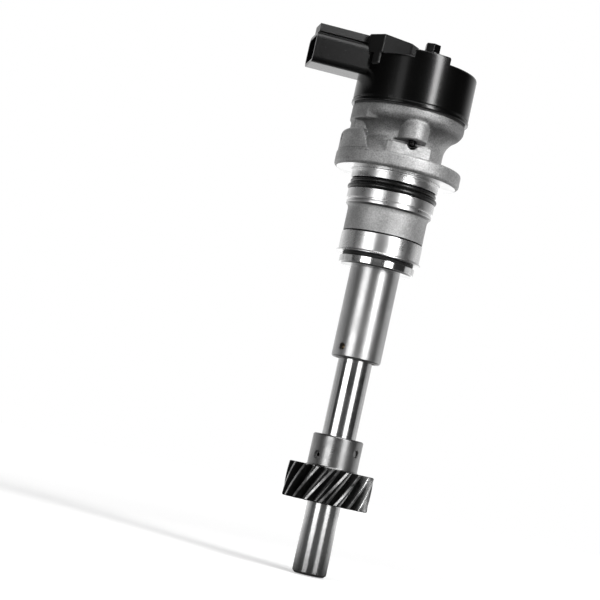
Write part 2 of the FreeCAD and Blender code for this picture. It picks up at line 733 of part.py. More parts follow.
def make_retaining_ring():
    """The split ring in the shaft's groove that keeps the shaft from rising."""
    ring = tube(SHAFT_R - RETAINER_DEPTH, RETAINER_R, RETAINER_TOP_Z - RETAINER_THICKNESS, RETAINER_TOP_Z)
    low = RETAINER_TOP_Z - RETAINER_THICKNESS - 1
    return ring.cut(sector(RETAINER_R + 1, low, RETAINER_TOP_Z + 1, 90, RETAINER_GAP_DEG / 2))


def make_vane_hub():
    """The steel hub pressed on the shaft's spigot, with a collar that the shutter is staked over."""
    top = VANE_HUB_Z + VANE_HUB_HEIGHT
    collar_top = top + VANE_COLLAR_HEIGHT
    body = cylinder(VANE_HUB_R, VANE_HUB_Z, top).fuse(cylinder(VANE_COLLAR_R, VANE_HUB_Z, collar_top))
    return body.cut(cylinder(SPIGOT_R, VANE_HUB_Z - 1, collar_top + 1))


def make_vane_cup():
    """The half-round shutter: a disc on the hub and a wall over half the turn."""
    low = VANE_HUB_Z + VANE_HUB_HEIGHT
    disc = tube(VANE_COLLAR_R, VANE_R, low, low + VANE_THICKNESS)
    wall = sector(VANE_R, low, VANE_TOP_Z, VANE_AZIMUTH, VANE_HALF_SPAN)
    wall = wall.cut(cylinder(VANE_R - VANE_THICKNESS, low - 1, VANE_TOP_Z + 1))
    return disc.fuse(wall)


def make_gasket():
    """The flat seal between the bell and the sensor, with a hole for each screw."""
    ring = tube(GASKET_BORE_R, GASKET_R, BELL_TOP_Z, BASE_Z)
    ear = cylinder(GASKET_EAR_R, BELL_TOP_Z, BASE_Z, 0, -SCREW_RADIUS)
    ears = both_sides(ear).common(cylinder(GASKET_R, BELL_TOP_Z - 1, BASE_Z + 1))
    holes = both_sides(cylinder(SCREW_R + SLIP_GAP, BELL_TOP_Z - 1, BASE_Z + 1, 0, -SCREW_RADIUS))
    return ring.fuse(ears).cut(holes)


def make_sensor_base():
    """The moulded ring that carries the sensing gap: a channel for the shutter's wall."""
    inner = CHANNEL_INNER_R - CHANNEL_WALL
    outer = CHANNEL_OUTER_R + CHANNEL_WALL
    body = revolved([
        (0, BASE_Z),
        (CHANNEL_INNER_R, BASE_Z),
        (CHANNEL_INNER_R, CHANNEL_ROOF_Z),
        (CHANNEL_OUTER_R, CHANNEL_ROOF_Z),
        (CHANNEL_OUTER_R, BASE_Z),
        (BASE_R, BASE_Z),
        (BASE_R, CAP_Z),
        (outer, CAP_Z),
        (outer, CHANNEL_TOP_Z),
        (inner, CHANNEL_TOP_Z),
        (inner, CAP_Z),
        (0, CAP_Z),
    ])
    sleeves = both_sides(cylinder(SLEEVE_R, BASE_Z - 1, CHANNEL_TOP_Z + 1, 0, -SCREW_RADIUS))
    return body.cut(sleeves)


def mirrored_outline(points):
    """A closed outline from its -Y half, given as distances towards the connector."""
    lower = [(-x, -y) for x, y in points]
    upper = [(-x, y) for x, y in reversed(points)]
    return lower + upper


def neck_block():
    """The faceted block on the cap that leads the terminals out to the connector."""
    outline = [NECK_BLOCK_NOSE, NECK_BLOCK_SHOULDER, NECK_BLOCK_BACK, NECK_BLOCK_TAIL]
    block = prism(mirrored_outline(outline), NECK_BLOCK_LOW_Z, NECK_BLOCK_TOP_Z)
    return block.makeChamfer(NECK_BLOCK_CHAMFER, edges_where(block, at_level(NECK_BLOCK_TOP_Z)))


def neck_tabs():
    """The two tabs that the neck block laps over the side of the cap."""
    plan = [(-x, -y) for x, y in NECK_TAB_PLAN]
    tab = prism(plan, NECK_TAB_LOW_Z, NECK_BLOCK_TOP_Z - 1)
    tab = tab.makeFillet(NECK_TAB_ROUND, edges_where(tab, at_level(NECK_TAB_LOW_Z)))
    return tab.fuse(tab.mirror(Vector(0, 0, 0), Vector(0, 1, 0)))


def shroud_blank(grow, x0, x1):
    """The connector's rounded outer or inner form, as a block along X."""
    half = SHROUD_HALF_WIDTH + grow
    low = SHROUD_LOW_Z - grow
    high = SHROUD_TOP_Z + grow
    blank = box(x0, x1, -half, half, low, high)
    sides = [edge for edge in blank.Edges if abs(edge.Vertexes[0].X - edge.Vertexes[1].X) > 1]
    return blank.makeFillet(SHROUD_ROUND + grow, sides)


def connector_rail():
    """The keying rail on the connector, with an undercut along each side."""
    start = SHROUD_MOUTH_X + MOUTH_STEP
    root = SHROUD_TOP_Z - 1
    rail = box(start, RAIL_END_X, -RAIL_HALF_WIDTH, RAIL_HALF_WIDTH, root, RAIL_TOP_Z)
    tops = [edge for edge in edges_where(rail, at_level(RAIL_TOP_Z)) if abs(edge.tangentAt(0).x) > 0.5]
    rail = rail.makeFillet(RAIL_ROUND, tops)
    for side in (-1, 1):
        edge = side * RAIL_HALF_WIDTH
        near, far = sorted((edge - side * RAIL_GROOVE_DEPTH, edge + side))
        undercut = box(start - 1, RAIL_END_X + 1, near, far, root, SHROUD_TOP_Z + RAIL_GROOVE_HEIGHT)
        rail = rail.cut(undercut)
    return rail


def cap_pad():
    """The raised pad on the cap under one screw's head."""
    low = CAP_TOP_Z - 2 * CAP_TOP_ROUND
    half = CAP_PAD_HALF_WIDTH
    pad = box(-half, half, -CAP_R - 1, -CAP_PAD_INNER, low, CAP_PAD_TOP_Z)
    pad = pad.common(cylinder(CAP_R, CAP_Z, CAP_PAD_TOP_Z))
    return pad.makeChamfer(CAP_PAD_CHAMFER, edges_where(pad, at_level(CAP_PAD_TOP_Z)))


def cap_cavity():
    """The hollow of the cap, with a column left round each screw sleeve, clear of the base's channel."""
    hollow = cylinder(CAP_INNER_R, CAP_Z - 1, CAP_CEILING_Z)
    columns = both_sides(cylinder(CAP_COLUMN_R, CAP_Z, CAP_TOP_Z, 0, -SCREW_RADIUS))
    channel = cylinder(CHANNEL_OUTER_R + CHANNEL_WALL + SLIP_GAP, CAP_Z - 1, CHANNEL_TOP_Z + SLIP_GAP)
    return hollow.cut(columns.cut(channel))


def make_sensor_cap():
    """The moulded sensor cap, with its neck block, connector and screw pads in one piece."""
    disc = revolved([
        (0, CAP_Z),
        (CAP_GROOVE_R, CAP_Z),
        (CAP_GROOVE_R, CAP_Z + CAP_GROOVE_HEIGHT),
        (CAP_R, CAP_Z + CAP_GROOVE_HEIGHT),
        (CAP_R, CAP_TOP_Z - CAP_TOP_ROUND),
        (CAP_R - CAP_TOP_ROUND, CAP_TOP_Z),
        (0, CAP_TOP_Z),
    ])
    shroud = shroud_blank(0, SHROUD_MOUTH_X, SHROUD_ROOT_X)
    body = disc.fuse([both_sides(cap_pad()), neck_block(), neck_tabs(), shroud, connector_rail()])
    socket = shroud_blank(-SHROUD_WALL, SHROUD_MOUTH_X - 1, SHROUD_MOUTH_X + SOCKET_DEPTH)
    sleeves = both_sides(cylinder(SLEEVE_R, CAP_Z - 1, SLEEVE_TOP_Z + 1, 0, -SCREW_RADIUS))
    body = body.cut(socket).cut(cap_cavity()).cut(sleeves)
    for index in range(TERMINAL_COUNT):
        body = body.cut(terminal(index))
    return body


def terminal(index):
    """One bent terminal, from its foot in the board out to its tip in the socket."""
    y = (index - (TERMINAL_COUNT - 1) / 2) * TERMINAL_PITCH
    half = TERMINAL_WIDTH / 2
    thin = TERMINAL_THICKNESS / 2
    bend = TERMINAL_FOOT_X + thin
    low = BOARD_Z - TERMINAL_FOOT_PROUD
    blade = box(TERMINAL_TIP_X, bend, y - half, y + half, TERMINAL_Z - thin, TERMINAL_Z + thin)
    tip = [edge for edge in blade.Edges if edge.CenterOfMass.x < TERMINAL_TIP_X + 1e-3]
    blade = blade.makeChamfer(TERMINAL_TIP_CHAMFER, tip)
    foot = box(TERMINAL_FOOT_X - thin, bend, y - half, y + half, low, TERMINAL_Z)
    return blade.fuse(foot).removeSplitter()


def make_board():
    """The round circuit board, notched for the screw columns and pierced for the terminals."""
    top = BOARD_Z + BOARD_THICKNESS
    board = cylinder(BOARD_R, BOARD_Z, top)
    board = board.cut(both_sides(cylinder(BOARD_NOTCH_R, BOARD_Z - 1, top + 1, 0, -SCREW_RADIUS)))
    for index in range(TERMINAL_COUNT):
        board = board.cut(terminal(index))
    for leg in hall_legs():
        board = board.cut(leg)
    return board


def hall_place():
    """The sensing element's outer face, inside the channel's inner wall."""
    return HALL_GAP - (CHANNEL_INNER_R - CHANNEL_WALL)


def hall_legs():
    """The sensing element's three legs up to the board."""
    x = hall_place() + HALL_THICKNESS / 2
    low = HALL_Z + HALL_HEIGHT / 2
    high = BOARD_Z + BOARD_THICKNESS + HALL_LEG
    half = HALL_LEG / 2
    places = [(i - 1) * HALL_LEG_PITCH for i in range(3)]
    return [box(x - half, x + half, y - half, y + half, low, high) for y in places]


def make_hall_element():
    """The magnetic sensing element inside the shutter's circle."""
    x = hall_place()
    body = box(x, x + HALL_THICKNESS, -HALL_WIDTH / 2, HALL_WIDTH / 2, HALL_Z, HALL_Z + HALL_HEIGHT)
    return body.fuse(hall_legs())


def magnet_face():
    """The magnet's inner face, against the channel's outer wall."""
    return -(CHANNEL_OUTER_R + CHANNEL_WALL) - MAGNET_GAP


def make_magnet():
    """The magnet across the gap from the sensing element."""
    x = magnet_face()
    low = HALL_Z + HALL_HEIGHT / 2 - MAGNET_HEIGHT / 2
    half = MAGNET_HALF_WIDTH
    return box(x - MAGNET_THICKNESS, x, -half, half, max(low, CAP_Z), low + MAGNET_HEIGHT)


def make_pole_piece():
    """The steel plate behind the magnet."""
    x = magnet_face() - MAGNET_THICKNESS
    high = HALL_Z + HALL_HEIGHT / 2 + MAGNET_HEIGHT / 2
    return box(x - POLE_THICKNESS, x, -MAGNET_HALF_WIDTH, MAGNET_HALF_WIDTH, CAP_Z, high)


def make_sensor_screws():
    """The two long hex-washer-head screws that hold the sensor down."""
    head_low = SLEEVE_TOP_Z
    shank = revolved([
        (0, SCREW_TIP_Z),
        (SCREW_R - SCREW_TIP_CHAMFER, SCREW_TIP_Z),
        (SCREW_R, SCREW_TIP_Z + SCREW_TIP_CHAMFER),
        (SCREW_R, head_low),
        (SCREW_WASHER_R, head_low),
        (SCREW_WASHER_R, head_low + SCREW_WASHER_THICKNESS / 2),
        (SCREW_WASHER_R - SCREW_WASHER_BEVEL, head_low + SCREW_WASHER_THICKNESS),
        (0, head_low + SCREW_WASHER_THICKNESS),
    ])
    head = hexagon(SCREW_HEAD_FLATS, head_low, SCREW_HEAD_TOP_Z)
    corner = SCREW_HEAD_FLATS / math.sqrt(3)
    crown = revolved([
        (0, head_low - 1),
        (corner + 1, head_low - 1),
        (corner + 1, SCREW_HEAD_TOP_Z - SCREW_HEAD_ROUND),
        (corner, SCREW_HEAD_TOP_Z - SCREW_HEAD_ROUND),
        (corner - 2 * SCREW_HEAD_ROUND, SCREW_HEAD_TOP_Z),
        (0, SCREW_HEAD_TOP_Z),
    ])
    screw = shank.fuse(head.common(crown))
    screw.rotate(Vector(0, 0, 0), Vector(0, 0, 1), SCREW_HEAD_TURN_DEG)
    screw.translate(Vector(0, -SCREW_RADIUS, 0))
    return pair(screw)


def make_screw_sleeves():
    """The metal sleeves in the sensor that take the screws' load."""
    sleeve = tube(SLEEVE_BORE_R, SLEEVE_R, BASE_Z, SLEEVE_TOP_Z)
    sleeve.translate(Vector(0, -SCREW_RADIUS, 0))
    return pair(sleeve)


def parts():
    """Every node's name and shape."""
    shapes = {
        "housing": make_housing(),
        "seal_ring": make_seal_ring(),
        "upper_bushing": make_upper_bushing(),
        "lower_bushing": make_lower_bushing(),
        "shaft": make_shaft(),
        "drive_gear": make_drive_gear(),
        "roll_pin": make_roll_pin(),
        "lock_pin": make_lock_pin(),
        "upper_thrust_washer": make_upper_washer(),
        "lower_thrust_washer": make_lower_washer(),
        "retaining_ring": make_retaining_ring(),
        "vane_hub": make_vane_hub(),
        "vane_cup": make_vane_cup(),
        "sensor_gasket": make_gasket(),
        "sensor_base": make_sensor_base(),
        "sensor_cap": make_sensor_cap(),
        "circuit_board": make_board(),
        "hall_element": make_hall_element(),
        "magnet": make_magnet(),
        "pole_piece": make_pole_piece(),
        "sensor_screws": make_sensor_screws(),
        "screw_sleeves": make_screw_sleeves(),
    }
    for index in range(TERMINAL_COUNT):
        shapes[f"terminal_{index + 1}"] = terminal(index)
    return shapes


def main():
    """Write one STEP file for each node."""
    os.makedirs("parts", exist_ok=True)
    for name, shape in parts().items():
        print(f"{name:22} solids {len(shape.Solids)}  volume {shape.Volume:9.1f}  valid {shape.isValid()}")
        shape.exportStep(f"parts/{name}.step")


main()
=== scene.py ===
"""Looks of the camshaft synchronizer: its modelled pieces, finishes, studio and camera.

Every length is in metres in the part's own frame: the origin is the centre of the flange's underside,
+Z runs up the shaft's axis and the connector points along -X.
"""
import json
import logging
import math
from contextlib import contextmanager
from dataclasses import dataclass
from enum import Enum
from typing import Callable, Iterator

import bpy
from mathutils import Matrix, Vector


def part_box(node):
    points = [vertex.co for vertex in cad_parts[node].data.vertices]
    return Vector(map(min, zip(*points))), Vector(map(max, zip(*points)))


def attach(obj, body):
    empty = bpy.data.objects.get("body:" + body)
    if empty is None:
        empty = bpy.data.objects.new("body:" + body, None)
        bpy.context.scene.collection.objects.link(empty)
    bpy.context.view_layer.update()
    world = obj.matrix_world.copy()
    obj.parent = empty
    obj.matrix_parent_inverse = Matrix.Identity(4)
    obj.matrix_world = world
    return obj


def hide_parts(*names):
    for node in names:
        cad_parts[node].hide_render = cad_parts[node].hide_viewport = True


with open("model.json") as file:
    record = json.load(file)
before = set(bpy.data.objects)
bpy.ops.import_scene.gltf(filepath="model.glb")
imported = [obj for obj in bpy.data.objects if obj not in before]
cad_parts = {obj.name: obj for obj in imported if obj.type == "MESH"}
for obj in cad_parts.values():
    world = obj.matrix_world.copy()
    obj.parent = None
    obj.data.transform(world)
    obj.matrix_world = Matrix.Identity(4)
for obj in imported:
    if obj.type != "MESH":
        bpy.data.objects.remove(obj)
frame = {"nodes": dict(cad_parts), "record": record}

LOG = logging.getLogger("synchronizer")
MM = 0.001
ROOT_BODY = "housing_group"
ROTOR_BODY = "rotor"
SCREW_PLACE = 17.4 * MM
SLEEVE_BORE_R = 2.92 * MM

Point = tuple[float, float, float]
Outline = list[tuple[float, float]]
Color = tuple[float, float, float]
Span = tuple[float, float]
Zone = tuple[float, float, float, float]
Socket = bpy.types.NodeSocket
Face = bpy.types.MeshPolygon
FaceTest = Callable[[Face], bool]
EdgeTest = Callable[[Vector, Vector], bool]


class Lay(Enum):
    """The way that a machining or grinding pattern runs over a surface."""

    AROUND_AXIS = "around"
    CROSSED = "crossed"


def clear_selection() -> None:
    """Leave edit mode and deselect every object."""
    if bpy.context.mode != "OBJECT":
        bpy.ops.object.mode_set(mode="OBJECT")
    bpy.ops.object.select_all(action="DESELECT")


def activate(piece: bpy.types.Object) -> None:
    """Select one object alone and make it active.

    Args:
        piece: the object that the next operators act on.
    """
    clear_selection()
    piece.select_set(True)
    bpy.context.view_layer.objects.active = piece


@contextmanager
def editing(piece: bpy.types.Object, select: bool = False) -> Iterator[None]:
    """Edit one object's mesh, with nothing or everything selected at the start.

    Args:
        piece: the mesh object to edit.
        select: whether everything starts selected.
    """
    activate(piece)
    bpy.context.tool_settings.mesh_select_mode = (True, False, False)
    bpy.ops.object.mode_set(mode="EDIT")
    bpy.ops.mesh.select_all(action="SELECT" if select else "DESELECT")
    yield
    bpy.ops.object.mode_set(mode="OBJECT")


def pick_faces(piece: bpy.types.Object, test: FaceTest) -> int:
    """Select the faces that pass a test, and nothing else.

    Args:
        piece: the object, in object mode.
        test: takes a face and says whether it is wanted.

    Returns:
        How many faces are selected.
    """
    bpy.context.tool_settings.mesh_select_mode = (False, False, True)
    mesh = piece.data
    for item in list(mesh.vertices) + list(mesh.edges):
        item.select = False
    found = 0
    for face in mesh.polygons:
        face.select = bool(test(face))
        found += face.select
    return found


def pick_edges(piece: bpy.types.Object, test: EdgeTest) -> None:
    """Select the edges whose two ends pass a test, and nothing else.

    Args:
        piece: the object, in object mode.
        test: takes an edge's two ends and says whether it is wanted.
    """
    bpy.context.tool_settings.mesh_select_mode = (False, True, False)
    mesh = piece.data
    for item in list(mesh.vertices) + list(mesh.polygons):
        item.select = False
    for edge in mesh.edges:
        edge.select = bool(test(*(mesh.vertices[index].co for index in edge.vertices)))


@contextmanager
def editing_picked(piece: bpy.types.Object) -> Iterator[None]:
    """Edit one object's mesh with the present selection kept.

    Args:
        piece: the mesh object to edit.
    """
    activate(piece)
    bpy.ops.object.mode_set(mode="EDIT")
    yield
    bpy.ops.object.mode_set(mode="OBJECT")


def bevel_edges(piece: bpy.types.Object, width: float, segments: int, test: EdgeTest) -> None:
    """Bevel the edges whose two ends pass a test.

    Args:
        piece: the object to soften.
        width: the bevel's width in metres.
        segments: how many faces the rounding has.
        test: takes an edge's two ends and says whether it is wanted.
    """
    pick_edges(piece, test)
    with editing_picked(piece):
        bpy.ops.mesh.bevel(offset=width, segments=segments, affect="EDGES")


def apply_modifier(piece: bpy.types.Object, kind: str, **settings: object) -> None:
    """Add a modifier, set it up and apply it.

    Args:
        piece: the object that gets it.
        kind: the modifier's type.
        settings: its properties by name.
    """
    activate(piece)
    modifier = piece.modifiers.new(kind.title(), kind)
    for name, value in settings.items():
        setattr(modifier, name, value)
    bpy.ops.object.modifier_apply(modifier=modifier.name)


def combine(piece: bpy.types.Object, tool: bpy.types.Object, how: str) -> None:
    """Join, cut or intersect a piece with a tool, and delete the tool.

    Args:
        piece: the object that is kept.
        tool: the object that is used up.
        how: UNION, DIFFERENCE or INTERSECT.
    """
    apply_modifier(piece, "BOOLEAN", operation=how, object=tool, solver="EXACT")
    bpy.data.objects.remove(tool, do_unlink=True)


def join(piece: bpy.types.Object, *others: bpy.types.Object) -> None:
    """Make other objects part of a piece, as solids of their own.

    Args:
        piece: the object that is kept.
        others: the objects that are used up.
    """
    clear_selection()
    for other in (*others, piece):
        other.select_set(True)
    bpy.context.view_layer.objects.active = piece
    bpy.ops.object.join()


def set_place(piece: bpy.types.Object) -> None:
    """Move a piece's place, turn and scale into its mesh."""
    activate(piece)
    bpy.ops.object.transform_apply(location=True, rotation=True, scale=True)


def tidy_normals(piece: bpy.types.Object) -> None:
    """Merge doubled points and point every face outwards."""
    with editing(piece, select=True):
        bpy.ops.mesh.remove_doubles(threshold=1e-6)
        bpy.ops.mesh.normals_make_consistent(inside=False)


def smooth(piece: bpy.types.Object, angle_deg: float = 32.0, weigh: bool = True) -> None:
    """Shade a piece smooth across every edge flatter than an angle.

    Args:
        piece: the object to shade.
        angle_deg: sharper edges stay sharp.
        weigh: whether large faces keep their own normals, so that roundings don't tilt them.
    """
    activate(piece)
    bpy.ops.object.shade_smooth_by_angle(angle=math.radians(angle_deg))
    if weigh:
        apply_modifier(piece, "WEIGHTED_NORMAL", keep_sharp=True)


def round_sharp_edges(piece: bpy.types.Object, width: float, segments: int, angle_deg: float) -> None:
    """Bevel every edge that is sharper than an angle.

    Args:
        piece: the object to soften.
        width: the bevel's width in metres.
        segments: how many faces the rounding has.
        angle_deg: edges flatter than this stay as they are.
    """
    with editing(piece):
        bpy.ops.mesh.select_mode(type="EDGE")
        bpy.ops.mesh.edges_select_sharp(sharpness=math.radians(angle_deg))
        bpy.ops.mesh.bevel(offset=width, segments=segments, affect="EDGES", clamp_overlap=True)


def turned(name: str, outline: Outline, around: int = 128, closed: bool = False) -> bpy.types.Object:
    """A solid of revolution about Z: a circle that is extruded and resized along an outline.

    Args:
        name: the object's name.
        outline: (radius, height) points in metres, from one end to the other.
        around: how many points each circle has.
        closed: whether the outline closes on itself, as a ring's section does.

    Returns:
        The new object.
    """
    clear_selection()
    radius, height = outline[0]
    fill = "NOTHING" if closed else "NGON"
    bpy.ops.mesh.primitive_circle_add(vertices=around, radius=radius, location=(0, 0, height), fill_type=fill)
    piece = bpy.context.object
    piece.name = name
    set_place(piece)
    with editing(piece, select=True):
        for next_radius, next_height in outline[1:] + (outline[:1] if closed else []):
            rise = (0, 0, next_height - height)
            bpy.ops.mesh.extrude_region_move(TRANSFORM_OT_translate={"value": rise})
            share = next_radius / radius
            bpy.ops.transform.resize(value=(share, share, 1), center_override=(0, 0, next_height))
            radius, height = next_radius, next_height
    tidy_normals(piece)
    return piece


def rod(name: str, radius: float, start: Point, end: Point, around: int = 48) -> bpy.types.Object:
    """A plain cylinder between two points, used as a start or a cutting tool.

    Args:
        name: the object's name.
        radius: the cylinder's radius in metres.
        start: the centre of one end.
        end: the centre of the other.
        around: how many sides it has.

    Returns:
        The new object.
    """
    clear_selection()
    first, last = Vector(start), Vector(end)
    along = last - first
    bpy.ops.mesh.primitive_cylinder_add(
        vertices=around, radius=radius, depth=along.length, location=(first + last) / 2)
    piece = bpy.context.object
    piece.name = name
    piece.rotation_euler = along.to_track_quat("Z", "Y").to_euler()
    set_place(piece)
    return piece


def block(name: str, low: Point, high: Point) -> bpy.types.Object:
    """A box between two corners, as a start to be shaped further.

    Args:
        name: the object's name.
        low: the corner with the least coordinates.
        high: the corner with the greatest.

    Returns:
        The new object.
    """
    clear_selection()
    first, last = Vector(low), Vector(high)
    bpy.ops.mesh.primitive_cube_add(size=1, location=(first + last) / 2, scale=last - first)
    piece = bpy.context.object
    piece.name = name
    set_place(piece)
    return piece


def plate(name: str, outline: Outline, low: float, high: float) -> bpy.types.Object:
    """An upright prism over an outline: a many-sided circle moved to the outline's corners and extruded.

    Args:
        name: the object's name.
        outline: (x, y) corners in order.
        low: the lower level.
        high: the upper level.

    Returns:
        The new object.
    """
    clear_selection()
    bpy.ops.mesh.primitive_circle_add(vertices=len(outline), radius=MM, fill_type="NGON")
    piece = bpy.context.object
    piece.name = name
    for vertex, (x, y) in zip(piece.data.vertices, outline):
        vertex.co = (x, y, low)
    with editing(piece, select=True):
        bpy.ops.mesh.extrude_region_move(TRANSFORM_OT_translate={"value": (0, 0, high - low)})
    tidy_normals(piece)
    return piece


def arc(centre: tuple[float, float], radius: float, start_deg: float, end_deg: float, steps: int) -> Outline:
    """Points along an arc of an outline.

    Args:
        centre: the arc's centre.
        radius: its radius.
        start_deg: the angle of its first point, from the outline's first axis.
        end_deg: the angle of its last point.
        steps: how many stretches it has.

    Returns:
        The arc's points, both ends included.
    """
    turns = [math.radians(start_deg + (end_deg - start_deg) * i / steps) for i in range(steps + 1)]
    return [(centre[0] + radius * math.cos(turn), centre[1] + radius * math.sin(turn)) for turn in turns]


def outward(azimuth_deg: float) -> Vector:
    """The level direction at an azimuth, measured from +X."""
    turn = math.radians(azimuth_deg)
    return Vector((math.cos(turn), math.sin(turn), 0))


def drill_for_sleeves(piece: bpy.types.Object) -> None:
    """Drill a sensor piece for the sleeves of the two screws.

    Args:
        piece: the object that is drilled.
    """
    for side in (-1, 1):
        place = side * SCREW_PLACE
        combine(piece, rod("bore", SLEEVE_BORE_R, (0, place, 0.02), (0, place, 0.05)), "DIFFERENCE")


def half_turn_copy(piece: bpy.types.Object, name: str) -> bpy.types.Object:
    """A copy of a piece, with its own mesh, turned half round the shaft's axis.

    Args:
        piece: the object to copy.
        name: the copy's name.

    Returns:
        The copy.
    """
    twin = piece.copy()
    twin.data = piece.data.copy()
    twin.name = name
    bpy.context.collection.objects.link(twin)
    twin.rotation_euler = (0, 0, math.pi)
    set_place(twin)
    return twin


def node_copy(node: str, name: str) -> bpy.types.Object:
    """A free copy of a fixed node's mesh, merged into one skin.

    Args:
        node: the fixed node.
        name: the copy's name.

    Returns:
        The copy, without materials.
    """
    source = frame["nodes"][node]
    piece = bpy.data.objects.new(name, source.data.copy())
    bpy.context.collection.objects.link(piece)
    piece.data.materials.clear()
    with editing(piece, select=True):
        bpy.ops.mesh.remove_doubles(threshold=1e-6)
    return piece


class Nodes:
    """A short way to write the node tree of a material or a world."""

    def __init__(self, owner: bpy.types.Material | bpy.types.World, coordinates: str = "Object") -> None:
        """Start on the owner's own tree.

        Args:
            owner: the new material or world.
            coordinates: the texture coordinate that its patterns are laid on.
        """
        owner.use_nodes = True
        self.owner = owner
        self.tree = owner.node_tree
        self.place = self.add("ShaderNodeTexCoord").outputs[coordinates]

    def add(self, kind: str, **settings: object) -> bpy.types.Node:
        """Add a node and set its properties.

        Args:
            kind: the node's type.
            settings: its properties by name.

        Returns:
            The node.
        """
        node = self.tree.nodes.new(kind)
        for name, value in settings.items():
            setattr(node, name, value)
        return node

    def feed(self, target: Socket, value: object) -> None:
        """Link a socket to another socket, or set it to a number, colour or vector.

        Args:
            target: the socket that is fed.
            value: what it gets.
        """
        if isinstance(value, bpy.types.NodeSocket):
            self.tree.links.new(value, target)
        else:
            target.default_value = value

    def stretched(self, scale: Point) -> Socket:
        """The coordinates, scaled along each axis."""
        node = self.add("ShaderNodeMapping")
        self.feed(node.inputs["Vector"], self.place)
        node.inputs["Scale"].default_value = scale
        return node.outputs["Vector"]

    def noise(
        self, size: float, detail: float = 3.0, rough: float = 0.55, place: Socket | None = None,
    ) -> Socket:
        """Smooth noise.

        Args:
            size: about how large its features are, in metres.
            detail: how many finer layers it has.
            rough: how strong the finer layers are.
            place: other coordinates, if it isn't laid on the plain ones.

        Returns:
            The noise, from 0 to 1.
        """
        node = self.add("ShaderNodeTexNoise")
        self.feed(node.inputs["Vector"], self.place if place is None else place)
        for name, value in (("Scale", 1 / size), ("Detail", detail), ("Roughness", rough)):
            node.inputs[name].default_value = value
        return node.outputs["Fac"]

    def cells(self, size: float) -> Socket:
        """The distance to the nearest of many scattered points.

        Args:
            size: about how far apart the points lie, in metres.

        Returns:
            The distance, as a share of that size.
        """
        node = self.add("ShaderNodeTexVoronoi")
        self.feed(node.inputs["Vector"], self.place)
        node.inputs["Scale"].default_value = 1 / size
        return node.outputs["Distance"]

    def math(self, how: str, first: object, second: object = 0.0) -> Socket:
        """One step of arithmetic.

        Args:
            how: the operation.
            first: its first number.
            second: its second number, where it takes one.

        Returns:
            The result.
        """
        node = self.add("ShaderNodeMath", operation=how)
        self.feed(node.inputs[0], first)
        self.feed(node.inputs[1], second)
        return node.outputs[0]

    def remap(
        self, value: object, low: float, high: float,
        to_low: float = 0.0, to_high: float = 1.0, way: str = "LINEAR",
    ) -> Socket:
        """Move a value from one range to another and hold it inside.

        Args:
            value: the number to move.
            low: the first range's start.
            high: the first range's end.
            to_low: what the start becomes.
            to_high: what the end becomes.
            way: the interpolation between them.

        Returns:
            The moved value.
        """
        node = self.add("ShaderNodeMapRange", interpolation_type=way)
        names = ("Value", "From Min", "From Max", "To Min", "To Max")
        for name, limit in zip(names, (value, low, high, to_low, to_high)):
            self.feed(node.inputs[name], limit)
        return node.outputs["Result"]

    def axis(self, letter: str) -> Socket:
        """One of the coordinates."""
        node = self.add("ShaderNodeSeparateXYZ")
        self.feed(node.inputs[0], self.place)
        return node.outputs[letter]

    def apart(self, across: object, along: object) -> Socket:
        """The distance that two offsets at right angles make."""
        squares = [self.math("POWER", offset, 2.0) for offset in (across, along)]
        return self.math("SQRT", self.math("ADD", *squares))

    def radius(self) -> Socket:
        """The distance from the shaft's axis."""
        return self.apart(self.axis("X"), self.axis("Y"))

    def toward(self, direction: Vector) -> Socket:
        """How far a place lies along a direction.

        Args:
            direction: a vector one long.

        Returns:
            The distance, or for a direction of view the cosine of the angle between them.
        """
        node = self.add("ShaderNodeVectorMath", operation="DOT_PRODUCT")
        self.feed(node.inputs[0], self.place)
        node.inputs[1].default_value = direction
        return node.outputs["Value"]

    def blend(self, share: object, first: object, second: object, how: str = "MIX") -> Socket:
        """One colour mixed into another.

        Args:
            share: how much of the second shows.
            first: the colour below.
            second: the colour above.
            how: the way that they mix.

        Returns:
            The mixed colour.
        """
        node = self.add("ShaderNodeMix", data_type="RGBA", blend_type=how)
        for name, value in (("Factor", share), ("A", first), ("B", second)):
            self.feed(node.inputs[name], value)
        return node.outputs["Result"]

    def tone(self, level: Socket, warmth: float = 0.0) -> Socket:
        """A colour from one varying level.

        Args:
            level: how light it is.
            warmth: how much more red and less blue it has than a neutral one.

        Returns:
            The colour.
        """
        node = self.add("ShaderNodeCombineColor")
        for socket, share in zip(node.inputs, (1 + warmth, 1.0, 1 - warmth)):
            self.feed(socket, self.math("MULTIPLY", level, share))
        return node.outputs[0]

    def bump(
        self, height: Socket, depth: float, strength: float = 1.0, below: Socket | None = None,
    ) -> Socket:
        """A relief.

        Args:
            height: its shape, from 0 to 1.
            depth: how deep it is, in metres.
            strength: how much of it shows.
            below: a relief that it lies on, if there is one.

        Returns:
            The normal to shade with.
        """
        node = self.add("ShaderNodeBump")
        self.feed(node.inputs["Height"], height)
        node.inputs["Distance"].default_value = depth
        node.inputs["Strength"].default_value = strength
        if below is not None:
            self.feed(node.inputs["Normal"], below)
        return node.outputs["Normal"]

    def shader(self, kind: str, **sockets: object) -> Socket:
        """Add a shader.

        Args:
            kind: the node's type.
            sockets: what its sockets get, by name.

        Returns:
            What the shader gives.
        """
        node = self.add(kind)
        for name, value in sockets.items():
            self.feed(node.inputs[name], value)
        return node.outputs[0]

    def by_ray(self, ray: str, others: Socket, special: Socket) -> Socket:
        """A shader that one kind of ray meets, with another for all other rays.

        Args:
            ray: the output of Light Path that picks the rays.
            others: the shader for all other rays.
            special: the shader for these rays.

        Returns:
            The shader made of both.
        """
        node = self.add("ShaderNodeMixShader")
        share = self.add("ShaderNodeLightPath").outputs[ray]
        for socket, value in zip(node.inputs, (share, others, special)):
            self.feed(socket, value)
        return node.outputs[0]

